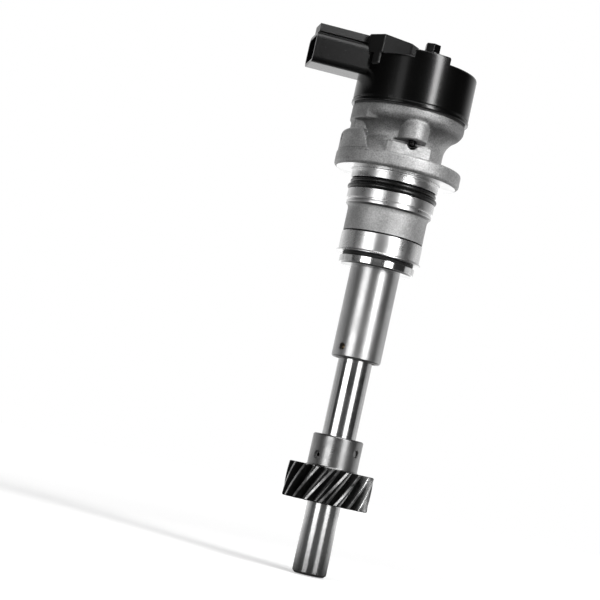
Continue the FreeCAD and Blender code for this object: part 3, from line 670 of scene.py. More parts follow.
    def show(self, shader: Socket) -> None:
        """Make a shader the one that the tree ends in."""
        output = next(node for node in self.tree.nodes if node.type.startswith("OUTPUT"))
        self.feed(output.inputs["Surface"], shader)

    def finish(self, **sockets: object) -> bpy.types.Material:
        """Finish a material by its principled shader.

        Args:
            sockets: what the shader's sockets get, by name, with _ for each blank.

        Returns:
            The material.
        """
        principled = self.tree.nodes["Principled BSDF"]
        for name, value in sockets.items():
            self.feed(principled.inputs[name.replace("_", " ")], value)
        return self.owner


def gray(level: float) -> tuple[float, float, float, float]:
    """A neutral colour of one level."""
    return (level, level, level, 1.0)


@dataclass(frozen=True)
class CastFinish:
    """Die-cast aluminium as it leaves the mould: grey, grainy and pitted, a little stained, with painted
    shade in the hollow under the bell.
    """

    name: str = "cast_aluminium_skin"
    light: float = 0.68
    dark: float = 0.34
    grain: float = 0.55 * MM
    pit: float = 1.3 * MM
    stain: float = 9.0 * MM
    relief: float = 0.07 * MM
    metallic: float = 0.9
    # painted shade in the hollow under the bell: its levels, its radii and how much colour it leaves; the
    # bosses stay unshaded
    painted_hollow_shade_z: Span = (14.0 * MM, 19.5 * MM)
    painted_hollow_shade_r: Span = (21.0 * MM, 23.8 * MM)
    painted_hollow_shade_level: float = 0.4
    boss_edge: Span = (5.2 * MM, 5.9 * MM)
    boss_top: Span = (20.2 * MM, 21.0 * MM)

    def painted_hollow_shade(self, nodes: Nodes) -> Socket:
        """How much of the colour the painted shade leaves: less in the hollow under the bell, all on the
        bosses.

        Args:
            nodes: the material's tree.

        Returns:
            The share that is left.
        """
        level = nodes.axis("Z")
        inside = nodes.remap(nodes.radius(), *self.painted_hollow_shade_r, 1.0, 0.0)
        hollow = nodes.math("MULTIPLY", nodes.remap(level, *self.painted_hollow_shade_z), inside)
        beside = nodes.math("SUBTRACT", nodes.math("ABSOLUTE", nodes.axis("Y")), SCREW_PLACE)
        away = nodes.remap(nodes.apart(nodes.axis("X"), beside), *self.boss_edge)
        off_boss = nodes.math("MAXIMUM", away, nodes.remap(level, *self.boss_top))
        return nodes.remap(nodes.math("MULTIPLY", hollow, off_boss), 0.0, 1.0, 1.0, self.painted_hollow_shade_level)

    def build(self) -> bpy.types.Material:
        """Make the material."""
        nodes = Nodes(bpy.data.materials.new(self.name))
        grain = nodes.noise(self.grain, 4.0, 0.65)
        pits = nodes.remap(nodes.cells(self.pit), 0.08, 0.30)
        stain = nodes.noise(self.stain, 3.0)
        mottled = nodes.blend(nodes.remap(grain, 0.34, 0.66), gray(self.dark), gray(self.light))
        # the stains' random tone times the painted shade under the bell
        shade = nodes.math("MULTIPLY", nodes.remap(stain, 0.35, 0.7, 0.72, 1.0), self.painted_hollow_shade(nodes))
        soft = nodes.bump(nodes.noise(self.pit * 1.6, 2.0), self.relief * 1.6)
        fine = nodes.bump(grain, self.relief, 1.0, soft)
        rough = nodes.bump(pits, self.relief * 0.8, 0.7, fine)
        return nodes.finish(
            Base_Color=nodes.blend(1.0, mottled, shade, "MULTIPLY"),
            Metallic=self.metallic,
            Roughness=nodes.remap(grain, 0.3, 0.7, 0.50, 0.66),
            Normal=rough,
        )


@dataclass(frozen=True)
class TurnedFinish:
    """Bare metal cut or ground round the shaft's axis, with fine rings, haze and a few stains."""

    name: str
    level: float
    roughness: float
    ring: float
    relief: float
    lay: Lay = Lay.AROUND_AXIS
    haze: float = 0.08
    haze_size: float = 7.0 * MM
    warmth: float = 0.0
    worn_below: float = -1.0

    def build(self) -> bpy.types.Material:
        """Make the material."""
        nodes = Nodes(bpy.data.materials.new(self.name))
        if self.lay is Lay.AROUND_AXIS:
            rings = nodes.noise(1.0, 2.0, 0.6, nodes.stretched((12.0, 12.0, 1 / self.ring)))
        else:
            rings = nodes.noise(self.ring * 4, 4.0, 0.7)
        haze = nodes.noise(self.haze_size, 4.0)
        rough = nodes.math("ADD", nodes.remap(haze, 0.35, 0.7, 0.0, self.haze), self.roughness)
        tint = nodes.remap(haze, 0.3, 0.75, self.level, self.level * 0.86)
        normal = nodes.bump(rings, self.relief)
        if self.worn_below > -1.0:
            speckle = nodes.noise(0.45 * MM, 3.0, 0.6, nodes.stretched((1.0, 1.0, 0.5)))
            worn = nodes.remap(nodes.axis("Z"), self.worn_below, self.worn_below + MM, 1.0, 0.0)
            normal = nodes.bump(nodes.math("MULTIPLY", speckle, worn), self.relief * 5, 1.0, normal)
        return nodes.finish(
            Base_Color=nodes.tone(tint, self.warmth),
            Metallic=1.0,
            Roughness=rough,
            Normal=normal,
        )


@dataclass(frozen=True)
class GearFinish:
    """Dark oiled gear steel, rubbed bright along the crests of the teeth."""

    name: str = "gear_steel_oiled"
    dark: float = 0.075
    bright: float = 0.42
    crest_radius: float = 16.6 * MM
    tip_radius: float = 16.95 * MM

    def build(self) -> bpy.types.Material:
        """Make the material."""
        nodes = Nodes(bpy.data.materials.new(self.name))
        crest = nodes.remap(nodes.radius(), self.crest_radius, self.tip_radius)
        patch = nodes.remap(nodes.noise(2.6 * MM, 4.0), 0.35, 0.6, 0.35, 1.0)
        worn = nodes.math("MULTIPLY", crest, patch)
        color = nodes.blend(worn, gray(self.dark), gray(self.bright))
        fine = nodes.bump(nodes.noise(0.35 * MM, 3.0), 0.012 * MM)
        return nodes.finish(
            Base_Color=color,
            Metallic=1.0,
            Roughness=nodes.remap(nodes.noise(1.4 * MM, 3.0), 0.3, 0.7, 0.26, 0.44),
            Normal=fine,
        )


@dataclass(frozen=True)
class MouldedFinish:
    """Black glass-filled plastic out of a polished mould, with a faint grain and dust-fine scuffs."""

    name: str
    level: float = 0.0008
    roughness: float = 0.20
    grain: float = 0.30 * MM
    relief: float = 0.004 * MM

    def build(self) -> bpy.types.Material:
        """Make the material."""
        nodes = Nodes(bpy.data.materials.new(self.name))
        wave = nodes.noise(5.5 * MM, 3.0)
        scuff = nodes.remap(nodes.noise(0.9 * MM, 5.0, 0.7), 0.52, 0.74, 0.0, 0.05)
        flow = nodes.remap(wave, 0.3, 0.7, self.level, self.level * 1.5)
        under = nodes.bump(wave, 0.02 * MM, 0.6)
        return nodes.finish(
            Base_Color=nodes.tone(flow),
            Roughness=nodes.math("ADD", scuff, self.roughness),
            IOR=1.46,
            Normal=nodes.bump(nodes.noise(self.grain, 2.0), self.relief, 1.0, under),
        )


@dataclass(frozen=True)
class DullFinish:
    """A matte solid such as rubber, ferrite or a chip's package, with a fine grain."""

    name: str
    color: Color
    roughness: float = 0.6
    grain: float = 0.5 * MM
    relief: float = 0.02 * MM
    metallic: float = 0.0

    def build(self) -> bpy.types.Material:
        """Make the material."""
        nodes = Nodes(bpy.data.materials.new(self.name))
        grain = nodes.noise(self.grain, 4.0)
        worn = tuple(min(1.0, level * 1.7 + 0.01) for level in self.color)
        patch = nodes.remap(nodes.noise(self.grain * 9, 3.0), 0.4, 0.75)
        return nodes.finish(
            Base_Color=nodes.blend(patch, (*self.color, 1), (*worn, 1)),
            Metallic=self.metallic,
            Roughness=nodes.remap(grain, 0.3, 0.7, self.roughness - 0.08, self.roughness + 0.08),
            Normal=nodes.bump(grain, self.relief),
        )


def make_finishes() -> dict[str, bpy.types.Material]:
    """Build every finish once.

    Returns:
        The materials by the record's slot names, and a few more for bands of one piece.
    """
    finishes = {
        "cast_aluminium": CastFinish(),
        "cast_band": CastFinish("cast_band_skin", 0.70, 0.40, metallic=0.78),
        # a nearly black cast skin that paints shade into slots, pockets and narrow grooves
        "sooty_casting": CastFinish("painted_shade_casting_skin", 0.07, 0.03),
        "turned_aluminium": TurnedFinish("turned_aluminium", 0.80, 0.25, 0.16 * MM, 0.004 * MM),
        "stem_aluminium": TurnedFinish("turned_stem_aluminium", 0.47, 0.30, 0.22 * MM, 0.006 * MM),
        "screw_steel": TurnedFinish("dark_screw_steel", 0.05, 0.18, 0.25 * MM, 0.006 * MM, Lay.CROSSED),
        "ring_aluminium": TurnedFinish("polished_ring_aluminium", 0.72, 0.11, 0.12 * MM, 0.003 * MM),
        "ground_steel": TurnedFinish(
            "ground_shaft_steel", 0.54, 0.15, 0.10 * MM, 0.002 * MM, worn_below=-131.0 * MM),
        "hub_steel": TurnedFinish("turned_hub_steel", 0.28, 0.27, 0.14 * MM, 0.005 * MM, haze=0.12),
        "gear_steel": GearFinish(),
        "mild_steel": TurnedFinish("machined_mild_steel", 0.50, 0.30, 0.2 * MM, 0.006 * MM),
        "plated_steel": TurnedFinish(
            "zinc_plated_steel", 0.62, 0.26, 0.25 * MM, 0.006 * MM, Lay.CROSSED, warmth=0.02),
        "spring_steel": TurnedFinish("tempered_spring_steel", 0.34, 0.30, 0.2 * MM, 0.006 * MM, Lay.CROSSED),
        "hardened_washer": TurnedFinish(
            "ground_washer_steel", 0.55, 0.22, 0.15 * MM, 0.004 * MM, Lay.CROSSED),
        "bronze": DullFinish("sintered_bronze", (0.34, 0.25, 0.15), 0.38, 0.25 * MM, 0.02 * MM, 1.0),
        "brass_sleeve": TurnedFinish("turned_brass", 0.62, 0.22, 0.2 * MM, 0.005 * MM, warmth=0.18),
        "tinned_brass": TurnedFinish(
            "tinned_terminal", 0.72, 0.24, 0.2 * MM, 0.004 * MM, Lay.CROSSED, warmth=0.03),
        "black_moulding": MouldedFinish("black_sensor_moulding"),
        "satin_moulding": MouldedFinish("satin_sensor_moulding", 0.006, 0.36, 0.5 * MM, 0.012 * MM),
        "connector_moulding": MouldedFinish("smooth_connector_moulding", 0.0025, 0.24, 0.5 * MM, 0.009 * MM),
        "seal_rubber": DullFinish("seal_rubber", (0.003, 0.003, 0.003), 0.3, 0.6 * MM, 0.008 * MM),
        "gasket_rubber": DullFinish("gasket_rubber", (0.02, 0.02, 0.02), 0.55),
        "board_laminate": DullFinish("board_laminate", (0.03, 0.14, 0.06), 0.4),
        "chip_package": DullFinish("chip_package", (0.02, 0.02, 0.02), 0.5),
        "magnet_ferrite": DullFinish("magnet_ferrite", (0.07, 0.07, 0.075), 0.5),
    }
    return {slot: finish.build() for slot, finish in finishes.items()}


def dress(piece: bpy.types.Object, material: bpy.types.Material) -> None:
    """Give a piece one material all over."""
    piece.data.materials.clear()
    piece.data.materials.append(material)


def assign(piece: bpy.types.Object, material: bpy.types.Material, test: FaceTest) -> None:
    """Give the faces that pass a test a material of their own, in a new slot of the piece.

    Args:
        piece: the object, in object mode.
        material: the faces' material.
        test: takes a face and says whether it is wanted.
    """
    piece.data.materials.append(material)
    count = pick_faces(piece, test)
    LOG.info("%s: %d faces in %s", piece.name, count, material.name)
    with editing_picked(piece):
        piece.active_material_index = len(piece.data.materials) - 1
        bpy.ops.object.material_slot_assign()


def deliver(piece: bpy.types.Object, body: str, node: str) -> bpy.types.Object:
    """Fasten a finished piece to its body and hide the fixed node that it replaces.

    Args:
        piece: the finished object.
        body: the body that it moves with.
        node: the fixed node that it replaces.

    Returns:
        The same object.
    """
    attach(piece, body)
    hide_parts(node)
    LOG.info("%s: %d faces on %s", piece.name, len(piece.data.polygons), body)
    return piece


def soft_corners(outline: Outline, width: float, closed: bool = True, steps: int = 3) -> Outline:
    """Round every corner of an outline that turns by more than about 20 degrees.

    Args:
        outline: the corners in order.
        width: how far along each side the rounding starts.
        closed: whether the last corner joins the first.
        steps: how many stretches each rounding has.

    Returns:
        The outline with its corners rounded.
    """
    rounded: Outline = []
    count = len(outline)
    for index, here in enumerate(outline):
        if not closed and index in (0, count - 1):
            rounded.append(here)
            continue
        corner = Vector(here)
        back = Vector(outline[index - 1]) - corner
        ahead = Vector(outline[(index + 1) % count]) - corner
        reach = min(width, back.length * 0.45, ahead.length * 0.45)
        if back.angle(ahead) > math.radians(160):
            rounded.append(here)
            continue
        start, end = corner + back.normalized() * reach, corner + ahead.normalized() * reach
        for step in range(steps + 1):
            share = step / steps
            point = start * (1 - share) ** 2 + corner * 2 * share * (1 - share) + end * share ** 2
            rounded.append((point.x, point.y))
    return rounded


def in_zones(face: Face, zones: tuple[Zone, ...]) -> bool:
    """Whether a face's centre lies in one of several zones.

    Args:
        face: the face.
        zones: each one's lower and upper level and inner and outer radius, in millimetres.

    Returns:
        True for a face in any of them.
    """
    level, radius = face.center.z / MM, face.center.xy.length / MM
    return any(low < level < high and inner < radius < outer for low, high, inner, outer in zones)


def in_metres(outline: Outline) -> Outline:
    """An outline given in millimetres, in metres."""
    return [(x * MM, y * MM) for x, y in outline]


@dataclass
class CastHead:
    """The cast upper part of the housing: flange, pads, blocks, neck and bell, with rounded cast edges."""

    finishes: dict[str, bpy.types.Material]
    voxel: float = 0.42 * MM
    smoothing: int = 4
    fillet: tuple[Span, ...] = (
        (15.0, 4.0), (20.5, 4.0), (20.4, 6.4), (19.8, 7.4), (18.8, 8.9),
        (17.8, 10.7), (16.9, 12.6), (16.1, 14.6), (15.0, 15.4),
    )
    fillet_x: Span = (-15.6 * MM, -9.4 * MM)
    keep_below: float = 3.0 * MM
    reach: float = 40.0 * MM
    pocket_r: float = 2.3 * MM
    pocket_z: float = 11.2 * MM
    slot_half: float = 9.6 * MM
    slot_y: float = 14.2 * MM
    slot_z: Span = (11.23 * MM, 12.75 * MM)
    parting_r: float = 24.45 * MM
    parting_z: float = 6.2 * MM
    parting_half: float = 0.35 * MM

    def shaded(self, face: Face) -> bool:
        """Whether a face lies in the slot over a pad or in its pocket, which get painted shade.

        Args:
            face: a face of the head.

        Returns:
            True for a face that stays dark.
        """
        low, high = self.slot_z
        spot = face.center
        between = abs(spot.x) < self.slot_half and abs(spot.y) > self.slot_y and low < spot.z < high
        pocket = Vector((0, math.copysign(SCREW_PLACE, spot.y), self.pocket_z))
        in_pocket = abs((spot - pocket).length - self.pocket_r) < 0.03 * MM
        return (between and abs(face.normal.y) < 0.8) or in_pocket

    def slab(self, low_z: float, high_z: float, x: Span | None = None) -> bpy.types.Object:
        """A wide cutting block between two levels.

        Args:
            low_z: its underside.
            high_z: its top.
            x: where it starts and ends along X, if it isn't wide that way too.

        Returns:
            The block.
        """
        start, end = x or (-self.reach, self.reach)
        return block("slab", (start, -self.reach, low_z), (end, self.reach, high_z))

    def parting_line(self) -> bpy.types.Object:
        """The thin ring that cuts the mould's parting line across the stepped block."""
        outer = self.parting_r + 2 * MM
        line = turned("parting_line", [
            (self.parting_r, self.parting_z), (outer, self.parting_z - self.parting_half),
            (outer, self.parting_z + self.parting_half),
        ], around=144, closed=True)
        near_block = block("near_block", (-self.reach, -20 * MM, 0), (-14 * MM, -2 * MM, 0.02))
        combine(line, near_block, "INTERSECT")
        return line

    def build(self) -> bpy.types.Object:
        """Remesh and smooth the head so that its corners get cast fillets, then cut its machined faces.

        Returns:
            The finished head.
        """
        head = node_copy("housing", "cast_head")
        combine(head, self.slab(-0.1, -self.keep_below), "DIFFERENCE")
        fillet = turned("foot_fillet", in_metres(self.fillet), around=96)
        combine(fillet, self.slab(0, 0.03, self.fillet_x), "INTERSECT")
        combine(head, fillet, "UNION")
        apply_modifier(head, "REMESH", mode="VOXEL", voxel_size=self.voxel)
        apply_modifier(head, "SMOOTH", factor=0.5, iterations=self.smoothing)
        combine(head, self.slab(-0.02, 0), "DIFFERENCE")
        for side in (-1, 1):
            clear_selection()
            place = (0, side * SCREW_PLACE, self.pocket_z)
            bpy.ops.mesh.primitive_uv_sphere_add(radius=self.pocket_r, location=place)
            combine(head, bpy.context.object, "DIFFERENCE")
        combine(head, self.parting_line(), "DIFFERENCE")
        tidy_normals(head)
        smooth(head, 40, weigh=False)
        dress(head, self.finishes["cast_aluminium"])
        assign(head, self.finishes["turned_aluminium"],
               lambda face: face.center.z < 0.02 * MM and face.normal.z < -0.9)
        # painted shade in the slots over the pads and in the screw pockets
        assign(head, self.finishes["sooty_casting"], self.shaded)
        return deliver(head, ROOT_BODY, "housing")


@dataclass
class TurnedBarrel:
    """The turned lower part of the housing: pilot, seal groove, bands, rings and the long stem."""

    finishes: dict[str, bpy.types.Material]
    edge: float = 0.16 * MM
    bore_r: float = 8.17
    gallery_r: float = 7.95
    bushing_levels: Span = (-58.4, -12.0)
    stem_r: float = 9.8
    stem_top: float = -37.6
    stem_end: float = -74.0
    hole_r: float = 1.35 * MM
    hole_flare: float = 0.25 * MM
    hole_azimuth_deg: float = 218.0
    hole_z: float = -69.9 * MM

    def outline(self) -> Outline:
        """The section's outer side from the flange down to the stem's end, then its bore back up."""
        bore, gallery, stem, end = self.bore_r, self.gallery_r, self.stem_r, self.stem_end
        lower, upper = self.bushing_levels
        return in_metres([
            (17.8, 0.0), (17.8, -0.8), (17.35, -0.8), (17.35, -3.5), (14.9, -3.5), (14.9, -8.0),
            (17.35, -8.0), (17.35, -11.7), (16.5, -11.7), (16.5, -12.5), (17.05, -12.5),
            (17.05, -13.7), (16.35, -14.3),
            (15.98, -15.1), (15.9, -16.0), (15.9, -24.3), (15.4, -24.4), (15.4, -24.8), (16.15, -24.9),
            (16.15, -32.0), (16.85, -32.3), (16.9, -32.8), (14.1, -33.0), (14.1, -34.2), (14.96, -34.4),
            (14.86, -37.0), (14.3, self.stem_top),
            (stem, self.stem_top), (stem, end + 0.6), (stem - 0.6, end), (bore, end), (bore, lower),
            (gallery, lower), (gallery, upper), (bore, upper), (bore, 0.0),
        ])

    def bands(self) -> dict[str, tuple[Zone, ...]]:
        """The zones of each finish but the main one, with painted shade in the two narrow grooves and a
        painted dark reflection on the flare under the cast band.
        """
        outer = 20.0
        return {
            "cast_band": ((-24.75, -13.75, 15, outer),),
            "stem_aluminium": ((self.stem_end - 1, self.stem_top - 0.1, 0, outer),),
            "ring_aluminium": ((self.stem_top, -34.1, 14, outer),),
            # the dark hub steel on the flare under the cast band is a painted dark reflection
            "hub_steel": ((-14.4, -13.62, 16, outer),),
            # painted shade in the two narrow grooves
            "sooty_casting": ((-34.3, -32.95, 14, 16), (-24.86, -24.32, 15, 16)),
        }

    def build(self) -> bpy.types.Object:
        """Turn the barrel, drill its oil hole and give each band its finish.

        Returns:
            The finished barrel.
        """
        barrel = turned("turned_barrel", soft_corners(self.outline(), self.edge), around=144, closed=True)
        way, level = outward(self.hole_azimuth_deg), Vector((0, 0, self.hole_z))
        for radius, start in ((self.hole_r, 5), (self.hole_r + self.hole_flare, self.stem_r - 0.18)):
            drill = rod("oil_drill", radius, way * start * MM + level, way * 12 * MM + level, 40)
            combine(barrel, drill, "DIFFERENCE")
        smooth(barrel, 33)
        dress(barrel, self.finishes["turned_aluminium"])
        for finish, zones in self.bands().items():
            assign(barrel, self.finishes[finish], lambda face: in_zones(face, zones))
        return deliver(barrel, ROOT_BODY, "housing")


@dataclass
class SealRing:
    """The rubber ring in the pilot's groove, with a wide round lobe under a narrower one."""

    finishes: dict[str, bpy.types.Material]
    lobe: float = 1.07
    lower: Span = (16.83, -6.83)
    upper: Span = (16.13, -4.69)
    back_r: float = 15.05

    def build(self) -> bpy.types.Object:
        """Turn the ring from two half-round lobes.

        Returns:
            The finished ring.
        """
        outline = [(self.back_r, self.lower[1] - self.lobe)]
        outline += arc(self.lower, self.lobe, -90, 80, 10)
        outline += arc(self.upper, self.lobe, -60, 90, 10)
        outline.append((self.back_r, self.upper[1] + self.lobe))
        ring = turned("rubber_seal", in_metres(outline), around=144, closed=True)
        smooth(ring, 50)
        dress(ring, self.finishes["seal_rubber"])
        return deliver(ring, ROOT_BODY, "seal_ring")


@dataclass
class SensorBase:
    """The black ring between the bell and the cap, with the channel that the shutter's wall turns in."""

    finishes: dict[str, bpy.types.Material]

    def build(self) -> bpy.types.Object:
        """Turn the ring and its channel, and drill it for the sleeves.

        Returns:
            The finished base.
        """
        outline = in_metres([
            (10.5, 25.62), (10.5, 36.0), (13.6, 36.0), (13.6, 25.62), (23.5, 25.62), (23.5, 26.98),
            (14.4, 26.98), (14.4, 36.8), (9.7, 36.8), (9.7, 26.98),
        ])
        base = turned("sensor_base_ring", soft_corners(outline, 0.3 * MM, closed=False, steps=4), around=160)
        drill_for_sleeves(base)
        smooth(base, 33)
        dress(base, self.finishes["black_moulding"])
        return deliver(base, ROOT_BODY, "sensor_base")


@dataclass
class SensorCap:
    """The moulded cap: disc with two screw pads, faceted neck block, and the keyed connector."""

    finishes: dict[str, bpy.types.Material]
    radius: float = 23.3
    foot_z: float = 27.0
    top_z: float = 44.8
    pad_top_z: float = 47.6
    pad_half: float = 7.1
    pad_edge: float = 0.9
    pad_inner: float = 11.5
    block_outline: tuple[Span, ...] = ((23.55, 8.3), (19.0, 14.9), (6.6, 9.8), (2.8, 4.8))
    block_levels: Span = (44.3, 51.8)
    tab_outline: tuple[Span, ...] = ((19.6, 9.6), (21.6, 11.1), (19.3, 14.4), (17.4, 12.9))
    tab_low_z: float = 39.7
    mouth_x: float = -44.1
    root_x: float = -19.0
    tube_half: float = 8.9
    tube_z: Span = (35.6, 47.7)
    socket_depth: float = 16.0
    wall: float = 1.3
    rail_x: Span = (-43.2, -23.0)
    rail_half: float = 5.2
    rail_top: float = 51.8
    hollow_r: float = 21.3
    hollow_top: float = 42.8
    column_r: float = 4.6
    channel_r: float = 14.55
    channel_top: float = 36.95

    def disc(self) -> bpy.types.Object:
        """The round body with its two pads, each cut from a cylinder to stand flush with the side."""
        foot, lip, top = (level * MM for level in (self.foot_z, self.foot_z + 0.5, self.top_z))
        side = self.radius * MM
        outline = [(22.8 * MM, foot), (22.8 * MM, lip), (side, lip), (side, top), (12 * MM, top)]
        disc = turned("sensor_cap_body", soft_corners(outline, 1.2 * MM, closed=False, steps=5), around=176)
        for way in (-1, 1):
            pad = rod("pad", side - 0.02 * MM, (0, 0, top - 1.4 * MM), (0, 0, self.pad_top_z * MM), 176)
            near, far = sorted((way * self.pad_inner * MM, way * 0.03))
            keep = block("keep", (-self.pad_half * MM, near, 0), (self.pad_half * MM, far, 0.06))
            combine(pad, keep, "INTERSECT")
            level = (self.pad_top_z - 0.01) * MM
            bevel_edges(pad, self.pad_edge * MM, 2, lambda a, b: min(a.z, b.z) > level)
            combine(disc, pad, "UNION")
        return disc

    def neck(self) -> bpy.types.Object:
        """The faceted block between cap and connector, with a tab lapping over the disc on each side."""
        low, high = (level * MM for level in self.block_levels)
        front = [(-x, -y) for x, y in self.block_outline]
        corners = front + [(x, -y) for x, y in reversed(front)]
        neck = plate("neck", in_metres(corners), low, high)
        round_sharp_edges(neck, 0.4 * MM, 3, 25)
        for side in (-1, 1):
            outline = in_metres([(-x, side * y) for x, y in self.tab_outline])
            tab = plate("tab", outline, self.tab_low_z * MM, (self.top_z + 3) * MM)
            round_sharp_edges(tab, 0.7 * MM, 4, 30)
            combine(neck, tab, "UNION")
        return neck

    def tube(self, grow: float, start: float, end: float, edge: float) -> bpy.types.Object:
        """The connector's outer or inner form, with its long edges rounded.

        Args:
            grow: how far it stands outside the tube's outer form, in millimetres.
            start: where it starts along X.
            end: where it ends.
            edge: the rounding's width.

        Returns:
            The form.
        """
        half = self.tube_half + grow
        low, high = self.tube_z[0] - grow, self.tube_z[1] + grow
        form = block("tube", (start * MM, -half * MM, low * MM), (end * MM, half * MM, high * MM))
        bevel_edges(form, edge * MM, 6, lambda a, b: abs(a.x - b.x) > MM)
        return form

    def key_rail(self) -> bpy.types.Object:
        """The rail on the connector, with rounded shoulders and an undercut along each side."""
        (start, end), half, top = self.rail_x, self.rail_half, self.rail_top
        deck = self.tube_z[1]
        foot, ledge = half - 1.2, deck + 0.9
        outline = in_metres([
            (-foot, deck - 1), (foot, deck - 1), (foot, ledge), (half, ledge),
            (half, top), (-half, top), (-half, ledge), (-foot, ledge),
        ])
        rail = plate("rail", soft_corners(outline, 0.35 * MM), start * MM, end * MM)
        rail.rotation_euler = Matrix(((0, 0, 1), (1, 0, 0), (0, 1, 0))).to_euler()
        set_place(rail)
        return rail

    def etched(self, face: Face) -> bool:
        """Whether a face belongs to the rail or the neck block, whose mould was etched.

        Args:
            face: a face of the cap.

        Returns:
            True for an etched face.
        """
        spot = face.center / MM
        on_pad = spot.x > -7.3 and abs(spot.y) > 11
        above_disc = spot.z > self.top_z + 0.05 and spot.x < -2.6 and not on_pad
        return (above_disc or spot.xy.length > self.radius + 0.05) and not self.on_tube(face)

    def on_tube(self, face: Face) -> bool:
        """Whether a face belongs to the connector's tube, which is smoother than its rail."""
        spot = face.center / MM
        return spot.x < -(self.radius + 0.05) and spot.z < self.tube_z[1] + 0.05

    def cavity(self) -> bpy.types.Object:
        """The hollow inside the cap, with a column left round each screw."""
        hollow = rod("hollow", self.hollow_r * MM, (0, 0, 0.026), (0, 0, self.hollow_top * MM), 96)
        for side in (-1, 1):
            place = side * SCREW_PLACE
            column = rod("column", self.column_r * MM, (0, place, 0.02), (0, place, 0.05))
            channel = rod("channel", self.channel_r * MM, (0, 0, 0.019), (0, 0, self.channel_top * MM), 96)
            combine(column, channel, "DIFFERENCE")
            combine(hollow, column, "DIFFERENCE")
        return hollow

    def build(self) -> bpy.types.Object:
        """Unite the solids, hollow them out and soften what edges are left.

        Returns:
            The finished cap.
        """
        cap = self.disc()
        mouth = self.mouth_x
        shell = self.tube(0, mouth, self.root_x, 2.8)
        socket = self.tube(-self.wall, mouth - 1, mouth + self.socket_depth, 1.5)
        combine(shell, socket, "DIFFERENCE")
        bevel_edges(shell, 0.22 * MM, 2, lambda a, b: max(a.x, b.x) < (mouth + 0.01) * MM)
        combine(cap, self.cavity(), "DIFFERENCE")
        for solid in (self.neck(), shell, self.key_rail()):
            combine(cap, solid, "UNION")
        drill_for_sleeves(cap)
        tidy_normals(cap)
        smooth(cap, 30)
        dress(cap, self.finishes["black_moulding"])
        assign(cap, self.finishes["satin_moulding"], self.etched)
        assign(cap, self.finishes["connector_moulding"], self.on_tube)
        return deliver(cap, ROOT_BODY, "sensor_cap")


@dataclass
class SensorScrews:
    """The two long hex-washer-head screws, threaded at their tips."""

    finishes: dict[str, bpy.types.Material]
    flats: float = 5.5
    seat_z: float = 47.72
    head_top_z: float = 51.7
    tip_z: float = 10.6
    turn_deg: float = 27.0
    pitch: float = 0.7
    core_r: float = 1.42
    thread_r: float = 1.75
    thread_turns: int = 13
    steps: int = 24

    def head(self) -> bpy.types.Object:
        """The hexagonal head with a dished top."""
        corner = self.flats / math.sqrt(3)
        head = rod("screw_head", corner * MM, (0, 0, self.seat_z * MM), (0, 0, self.head_top_z * MM), 6)
        top = (self.head_top_z - 0.01) * MM
        bevel_edges(head, 0.4 * MM, 3, lambda a, b: min(a.z, b.z) > top)
        bevel_edges(head, 0.12 * MM, 2, lambda a, b: abs(a.z - b.z) > MM)
        pick_faces(head, lambda face: face.center.z > top and face.normal.z > 0.9)
        with editing_picked(head):
            bpy.ops.mesh.inset(thickness=0.7 * MM)
            bpy.ops.transform.translate(value=(0, 0, -0.25 * MM))
            bpy.ops.mesh.inset(thickness=0.3 * MM)
        head.rotation_euler = (0, 0, math.radians(self.turn_deg - 30))
        set_place(head)
        return head

    def thread(self) -> bpy.types.Object:
        """A helical ridge round the screw's tip: a small triangle swept round and up."""
        clear_selection()
        low = self.tip_z + 1.2
        bpy.ops.mesh.primitive_circle_add(vertices=3, radius=MM, fill_type="NGON")
        ridge = bpy.context.object
        ridge.name = "thread"
        half = self.pitch * 0.4
        corners = ((self.core_r - 0.1, low - half), (self.thread_r, low), (self.core_r - 0.1, low + half))
        for vertex, (across, level) in zip(ridge.data.vertices, corners):
            vertex.co = (across * MM, 0, level * MM)
        rise, turn = (0, 0, self.pitch * MM / self.steps), math.radians(360 / self.steps)
        with editing(ridge, select=True):
            for _ in range(self.steps * self.thread_turns):
                bpy.ops.mesh.extrude_region_move(TRANSFORM_OT_translate={"value": rise})
                bpy.ops.transform.rotate(value=turn, orient_axis="Z", center_override=(0, 0, 0))
        tidy_normals(ridge)
        return ridge

    def build(self) -> bpy.types.Object:
        """Join head, washer, shank and thread into one screw, and make its twin.

        Returns:
            Both screws as one object.
        """
        core, wide = self.core_r, self.thread_r
        outline = in_metres([
            (0.3, self.tip_z), (0.8, self.tip_z + 0.12), (1.2, self.tip_z + 0.45), (core, self.tip_z + 0.95),
            (core, self.tip_z + 10.4), (wide, self.tip_z + 10.8),
            (wide, self.seat_z), (4.0, self.seat_z), (4.0, self.seat_z + 0.3), (3.6, self.seat_z + 0.6),
            (2.0, self.seat_z + 0.62),
        ])
        softened = soft_corners(outline, 0.08 * MM, closed=False, steps=2)
        screw = turned("sensor_screw_pair", softened, around=64)
        join(screw, self.head(), self.thread())
        screw.location = (0, -SCREW_PLACE, 0)
        set_place(screw)
        join(screw, half_turn_copy(screw, "twin"))
        smooth(screw, 33)
        dress(screw, self.finishes["screw_steel"])
        return deliver(screw, ROOT_BODY, "sensor_screws")


